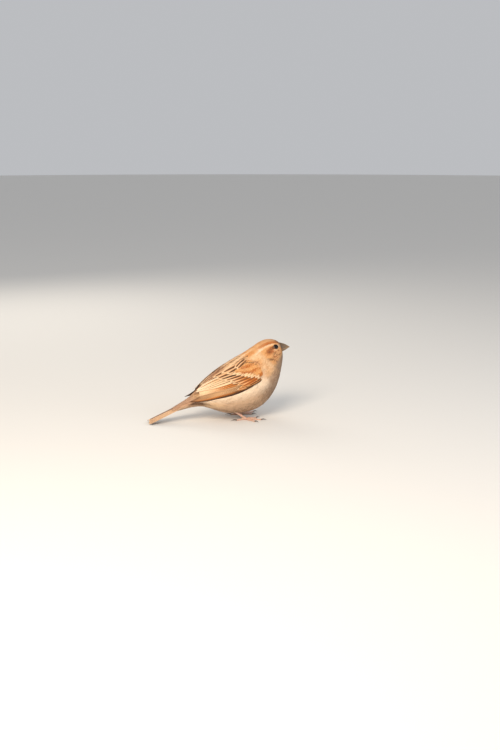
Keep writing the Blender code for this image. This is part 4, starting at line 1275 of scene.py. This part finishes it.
class SPARROW_OT_bill(bpy.types.Operator):
    """Build the two horn mandibles with their ridge, cutting edges and nostrils"""

    bl_idname = "sparrow.bill"
    bl_label = "Bill"

    def execute(self, context):
        material = horn_material()
        for name, upper in (("bill_upper", True), ("bill_lower", False)):
            bm = wrapped_grid(48, 40, lambda around, along: self.surface(around, along, upper))
            piece = object_from(bm, f"{name}_horn", material, sharp=60)
            paint_zones(piece, lambda p: self.zones(p, upper))
            dress(piece, "bill_horn", name)
        return {"FINISHED"}

    def surface(self, around, along, upper):
        """A point of one mandible: an arch over most of the way round, the flat of the gape for the rest."""
        top, low, tip = BILL_ROOT_TOP, BILL_ROOT_LOW, BILL_TIP
        t = 1 - (1 - along) ** BILL_SPREAD
        reach = t if upper else t * 0.95
        gape = BILL_GAPE_Z - BILL_DOWN_TURN * float(fall(reach, 0.0, 0.45))
        gape += (0.04 if upper else -0.04) - 0.45 * float(ramp(reach, 0.7, 1.0))  # the tip hooks a little
        root = top if upper else low
        edge = mix(root, tip, reach)
        swell = math.sin(math.pi * t) * (0.5 if upper else -0.2)
        edge_z = tip.y + (root.y - tip.y) * (1 - t) ** 0.85 + swell
        half_width = 3.75 * (1 - t) ** 0.75 * (1.0 if upper else 0.94) + 0.05
        height = max(edge_z - gape, 0.1) if upper else min(edge_z - gape, -0.1)
        root_x = mix(top.x, low.x, (top.y - gape) / (top.y - low.y))
        gape_x = mix(root_x, tip.x, reach)
        if around < BILL_ARCH:
            a = math.pi * around / BILL_ARCH
            rise, side = math.sin(a) ** 0.92, math.cos(a)
            ridge = 1 + 0.05 * math.exp(-((a - math.pi / 2) / 0.16) ** 2)  # the narrow ridge of the culmen
            x, y, z = mix(gape_x, edge.x, rise), half_width * side, gape + height * rise * ridge
        else:
            side = mix(-1, 1, (around - BILL_ARCH) / (1 - BILL_ARCH))
            x, y, z = gape_x, half_width * side, gape + (0.12 if upper else -0.12) * (1 - side * side)
        if upper and around < BILL_ARCH:
            for nostril in NOSTRILS:  # a small pit on either side of the ridge
                dent = max(0.0, 1 - math.hypot((a - nostril) / 0.2, (t - NOSTRIL_T) / 0.05))
                x, z, y = x - 0.2 * dent, z - 0.4 * dent, y * (1 - 0.2 * dent)
        x, y = turn_head(np.array(x + 0.3 - 0.9 * (along == 0)), np.array(y), 0.0)
        return Vector((float(x), float(y), z))

    def zones(self, point, upper):
        """Paleness towards the tip, a painted highlight along the culmen, and paleness towards the cutting edge
        and the lower base; the nostrils' pits, painted dark as shade.
        """
        root_x, tip_x = TABLE[0][0], BILL_TIP.x
        t = float(min(max((point.x - root_x) / (tip_x - root_x), 0.0), 1.0))
        from_gape = abs(point.z - BILL_GAPE_Z + BILL_DOWN_TURN * (1 - t))
        edge = max(0.0, 1 - from_gape / 0.9) * (0.6 if upper else 0.9)
        if not upper:
            edge = max(edge, 0.5 * (1 - t))
        middle_y = float(turn_head(np.array(mix(root_x, tip_x, t)), np.array(0.0), 0.0)[1])
        # painted highlight: a paler line along the top of the upper mandible
        ridge = max(0.0, 1 - abs(point.y - middle_y) / 0.8) * (point.z > BILL_GAPE_Z) * 0.6
        pit = 0.0
        if upper:
            along = 1 - (1 - NOSTRIL_T) ** (1 / BILL_SPREAD)
            for nostril in NOSTRILS:
                middle = self.surface(BILL_ARCH * nostril / math.pi, along, True)
                pit = max(pit, 1 - (point - middle).length / 0.75)
        return (max(t**1.6 * 0.8, ridge), edge * 0.7, max(pit, 0.0))


class SPARROW_OT_eyes(bpy.types.Operator):
    """Build the glossy eyes and the bare rims of the lids"""

    bl_idname = "sparrow.eyes"
    bl_label = "Eyes"

    def execute(self, context):
        ball_material, rim_material = eye_material(), lid_material()
        for side_name, side in SIDES.items():
            centre, (u, a) = EYES[side], EYE_PLACES[side]
            out = Vector(FORM.normal(np.array([u]), np.array([a]))[0])
            turn = out.to_track_quat("Z", "Y").to_matrix()
            ball = object_from(sphere(48, 32, EYE_BALL, centre, turn), f"{side_name}_eye", ball_material)
            paint_zones(ball, lambda p: min((p - centre).angle(out) / math.radians(90), 1.0))
            dress(ball, "eye", f"eye_{side_name}")
            dress(self.lid(centre, turn, f"{side_name}_lid", rim_material), "leg_skin")
        return {"FINISHED"}

    def lid(self, centre, turn, name, material):
        """A rolled rim of lid skin round the opening; its skirt runs down under the feathers."""
        rim_height = math.sqrt(EYE_BALL**2 - LID_OPENING**2)

        def place(around, along):
            theta, phi = 2 * math.pi * around, 2 * math.pi * along
            outward = max(math.cos(phi), 0)
            fold = 1 + 0.1 * math.sin(theta * LID_FOLDS) * outward
            across = LID_OPENING + 0.08 + (0.34 * outward + 0.12 * min(math.cos(phi), 0)) * fold
            up = rim_height + 0.03 + 0.1 * math.sin(phi) * (1 + outward) - 0.95 * outward
            long_way = 1.0 + 0.06 * math.cos(2 * theta)
            return centre + turn @ Vector((across * math.cos(theta) * long_way, across * math.sin(theta), up))

        bm = wrapped_grid(76, 16, place, close_ends=False)
        bmesh.ops.remove_doubles(bm, verts=bm.verts, dist=1e-3)
        return object_from(bm, name, material)


def toe_direction(degrees, side):
    turn = math.radians(degrees)
    return Vector((math.cos(turn), side * math.sin(turn), 0))


class SPARROW_OT_feet(bpy.types.Operator):
    """Build the scaly tarsi, the jointed toes with their pads, and the claws"""

    bl_idname = "sparrow.feet"
    bl_label = "Legs and feet"

    def execute(self, context):
        skin, horn = leg_material(), claw_material()
        for side_name, side in SIDES.items():
            foot = Vector((0, side * FOOT_Y, 0))
            self.tarsus(side_name, side, skin)
            self.sole(side_name, foot, skin)
            for k, (toe, (degrees, length, _, plates)) in enumerate(TOES.items(), 1):
                direction = toe_direction(degrees, side)
                piece = self.toe(f"{side_name}_{toe}_toe", foot, direction, length, plates, TOE_STEP * k, skin)
                dress(piece, "leg_skin", f"foot_{side_name}")
            for toe, (degrees, length, claw_length, _) in TOES.items():
                direction = toe_direction(degrees, side)
                start = foot + direction * (length - CLAW_SUNK)
                piece = self.claw(f"{side_name}_{toe}_claw", start, direction, claw_length + CLAW_EXTRA, horn)
                dress(piece, "claw_horn", f"claw_{side_name}_{toe}")
        return {"FINISHED"}

    def tarsus(self, side_name, side, material):
        foot = Vector((0, side * FOOT_Y, FOOT_MIDDLE))
        ankle = Vector((TARSUS_TOP[0], side * TARSUS_TOP[1], TARSUS_TOP[2]))
        along = (ankle - foot).normalized()
        start = foot + along * 0.6
        length = (ankle - start).length

        def radius(t, a):
            step = (t * SCUTES) % 1.0
            front = max(math.sin(a), 0.0) ** 0.5  # overlapping plates on the upper, front side
            swell = 0.95 * mix(1.05, 1.2, abs(2 * t - 1) ** 2)
            return swell * (1 + front * 0.09 * (1 - step) - 0.03 * math.cos(2 * a))

        piece = tube(f"{side_name}_tarsus", material, (28, 108), lambda t: start.lerp(ankle, t), along, radius)
        paint_zones(piece, lambda p: float(peak(((p - start).dot(along) / length * SCUTES) % 1.0, 0.0, 0.16)))
        dress(piece, "leg_skin", f"leg_{side_name}")

    def sole(self, side_name, foot, material):
        bm = sphere(32, 20, SOLE_RADIUS, foot + Vector((0, 0, FOOT_MIDDLE)))
        for vert in bm.verts:
            vert.co.z = max(vert.co.z, 0.0)
        piece = object_from(bm, f"{side_name}_sole", material)
        paint_zones(piece, lambda p: PLAIN_SCALE)
        dress(piece, "leg_skin", f"foot_{side_name}")

    def toe(self, name, foot, direction, length, plates, floor, material):
        """A toe of pads and plates, its underside flat at the floor's height."""
        def thickness(t):
            pad = 0.1 * math.cos(6 * math.pi * t)
            return 0.95 * mix(1.05, 0.7, t) + pad * mix(1, 0.6, t)

        def centre(t):
            arch = 0.5 * math.sin(math.pi * min(t * 1.6, 1.0)) * (1 - t)
            return foot + direction * (length * t) + Vector((0, 0, thickness(t) - TOE_FLAT + arch))

        def radius(t, a):
            ridges = 1 + 0.06 * max(math.sin(a), 0) ** 0.5 * (1 - (t * length / 1.5) % 1.0)
            end = math.sqrt(max(1 - max(t - 0.93, 0) ** 2 / 0.07**2, 0.0)) if t > 0.93 else 1.0
            return thickness(t) * ridges * mix(0.35, 1.0, end)

        def grooves(point):
            t = (point - foot).dot(direction) / length
            return float(peak((t * plates) % 1.0, 0.0, 0.2)) if point.z > 0.5 else PLAIN_SCALE

        piece = tube(name, material, (20, 84), centre, direction, radius, floor)
        paint_zones(piece, grooves)
        return piece

    def claw(self, name, start, direction, length, material):
        def radius(t, a):
            keel = 1 - 0.12 * max(-math.sin(a), 0)  # hollow underside
            return mix(0.62, 0.05, t**1.15) * keel

        def centre(t):
            height = 0.55 + 0.75 * math.sin(math.pi * t * 0.95) - 0.42 * t
            return start + direction * (length * t) + Vector((0, 0, max(height, radius(t, 0) - 0.04)))

        piece = tube(name, material, (18, 36), centre, direction, radius)
        paint_zones(piece, lambda p: min(max((p - start).dot(direction) / length, 0.0), 1.0))
        return piece


class SPARROW_OT_stage(bpy.types.Operator):
    """Set the pale floor, the soft lights and the camera"""

    bl_idname = "sparrow.stage"
    bl_label = "Stage"

    def execute(self, context):
        look = context.scene.sparrow_stage
        material = Nodes("floor", roughness=0.9, specular_ior_level=0.1).finish(look.floor)
        bm = bmesh.new()
        bmesh.ops.create_circle(bm, cap_ends=True, segments=96, radius=6000)
        floor = object_from(bm, "floor", material)
        world = bpy.data.worlds.new("studio")
        context.scene.world = world
        world.use_nodes = True
        background = world.node_tree.nodes["Background"]
        background.inputs["Color"].default_value = (*srgb(232, 234, 238), 1)
        background.inputs["Strength"].default_value = 0.62
        self.light("key", (-420, -640, 620), 420, 8.0, srgb(255, 240, 220))
        self.light("fill", (650, -500, 360), 600, 1.8, srgb(226, 234, 246))
        self.light("rim", (-200, 700, 520), 500, 2.0, srgb(255, 246, 232))
        self.camera(context.scene, look)
        context.scene.view_settings.view_transform = "Standard"
        return {"FINISHED"}

    def light(self, name, place, width, watts, tint):
        """A square soft light, aimed at the middle of the bird."""
        lamp = bpy.data.lights.new(name, "AREA")
        lamp.energy, lamp.size, lamp.color = watts, width * MM, tint
        made = bpy.data.objects.new(name, lamp)
        made.location = ORIGIN + Vector(place) * MM
        aim = ORIGIN + Vector((-15, 0, 35)) * MM
        made.rotation_euler = (made.location - aim).to_track_quat("Z", "Y").to_euler()
        bpy.context.scene.collection.objects.link(made)

    def camera(self, scene, look):
        azimuth, elevation = look.camera_azimuth, look.camera_elevation
        level = math.cos(elevation)
        back = Vector((math.sin(azimuth) * level, -math.cos(azimuth) * level, math.sin(elevation)))
        right = Vector((math.cos(azimuth), math.sin(azimuth), 0))
        up = back.cross(right)
        offset = right * look.camera_right + up * look.camera_up + back * look.camera_distance
        data = bpy.data.cameras.new("camera")
        data.sensor_fit = "VERTICAL"
        data.sensor_width = data.sensor_height = 36
        data.lens = look.focal_length
        data.clip_start = 0.01
        camera = bpy.data.objects.new("camera", data)
        turn = Matrix((right, up, back)).transposed().to_4x4()
        camera.matrix_world = Matrix.Translation(ORIGIN + offset * MM) @ turn
        scene.collection.objects.link(camera)
        scene.camera = camera


class SPARROW_PT_panel(bpy.types.Panel):
    """Lists the steps that dress the model"""

    bl_idname = "SPARROW_PT_panel"
    bl_label = "House sparrow"
    bl_space_type = "VIEW_3D"
    bl_region_type = "UI"
    bl_category = "Sparrow"

    def draw(self, context):
        for operator in OPERATORS:
            self.layout.operator(operator.bl_idname)


OPERATORS = (
    SPARROW_OT_stage, SPARROW_OT_skin, SPARROW_OT_body_coat, SPARROW_OT_wings, SPARROW_OT_tail,
    SPARROW_OT_bill, SPARROW_OT_eyes, SPARROW_OT_feet,
)
GROUPS = {"sparrow_plumage": SparrowPlumage, "sparrow_hard_parts": SparrowHardParts,
          "sparrow_stage": SparrowStage}


def register():
    for group in GROUPS.values():
        bpy.utils.register_class(group)
    for name, group in GROUPS.items():
        setattr(bpy.types.Scene, name, bpy.props.PointerProperty(type=group))
    for operator in OPERATORS:
        bpy.utils.register_class(operator)
    bpy.utils.register_class(SPARROW_PT_panel)


def unregister():
    bpy.utils.unregister_class(SPARROW_PT_panel)
    for operator in reversed(OPERATORS):
        bpy.utils.unregister_class(operator)
    for name, group in GROUPS.items():
        delattr(bpy.types.Scene, name)
        bpy.utils.unregister_class(group)


def main():
    register()
    for operator in OPERATORS:
        category, name = operator.bl_idname.split(".")
        getattr(getattr(bpy.ops, category), name)()


if __name__ == "__main__":
    main()
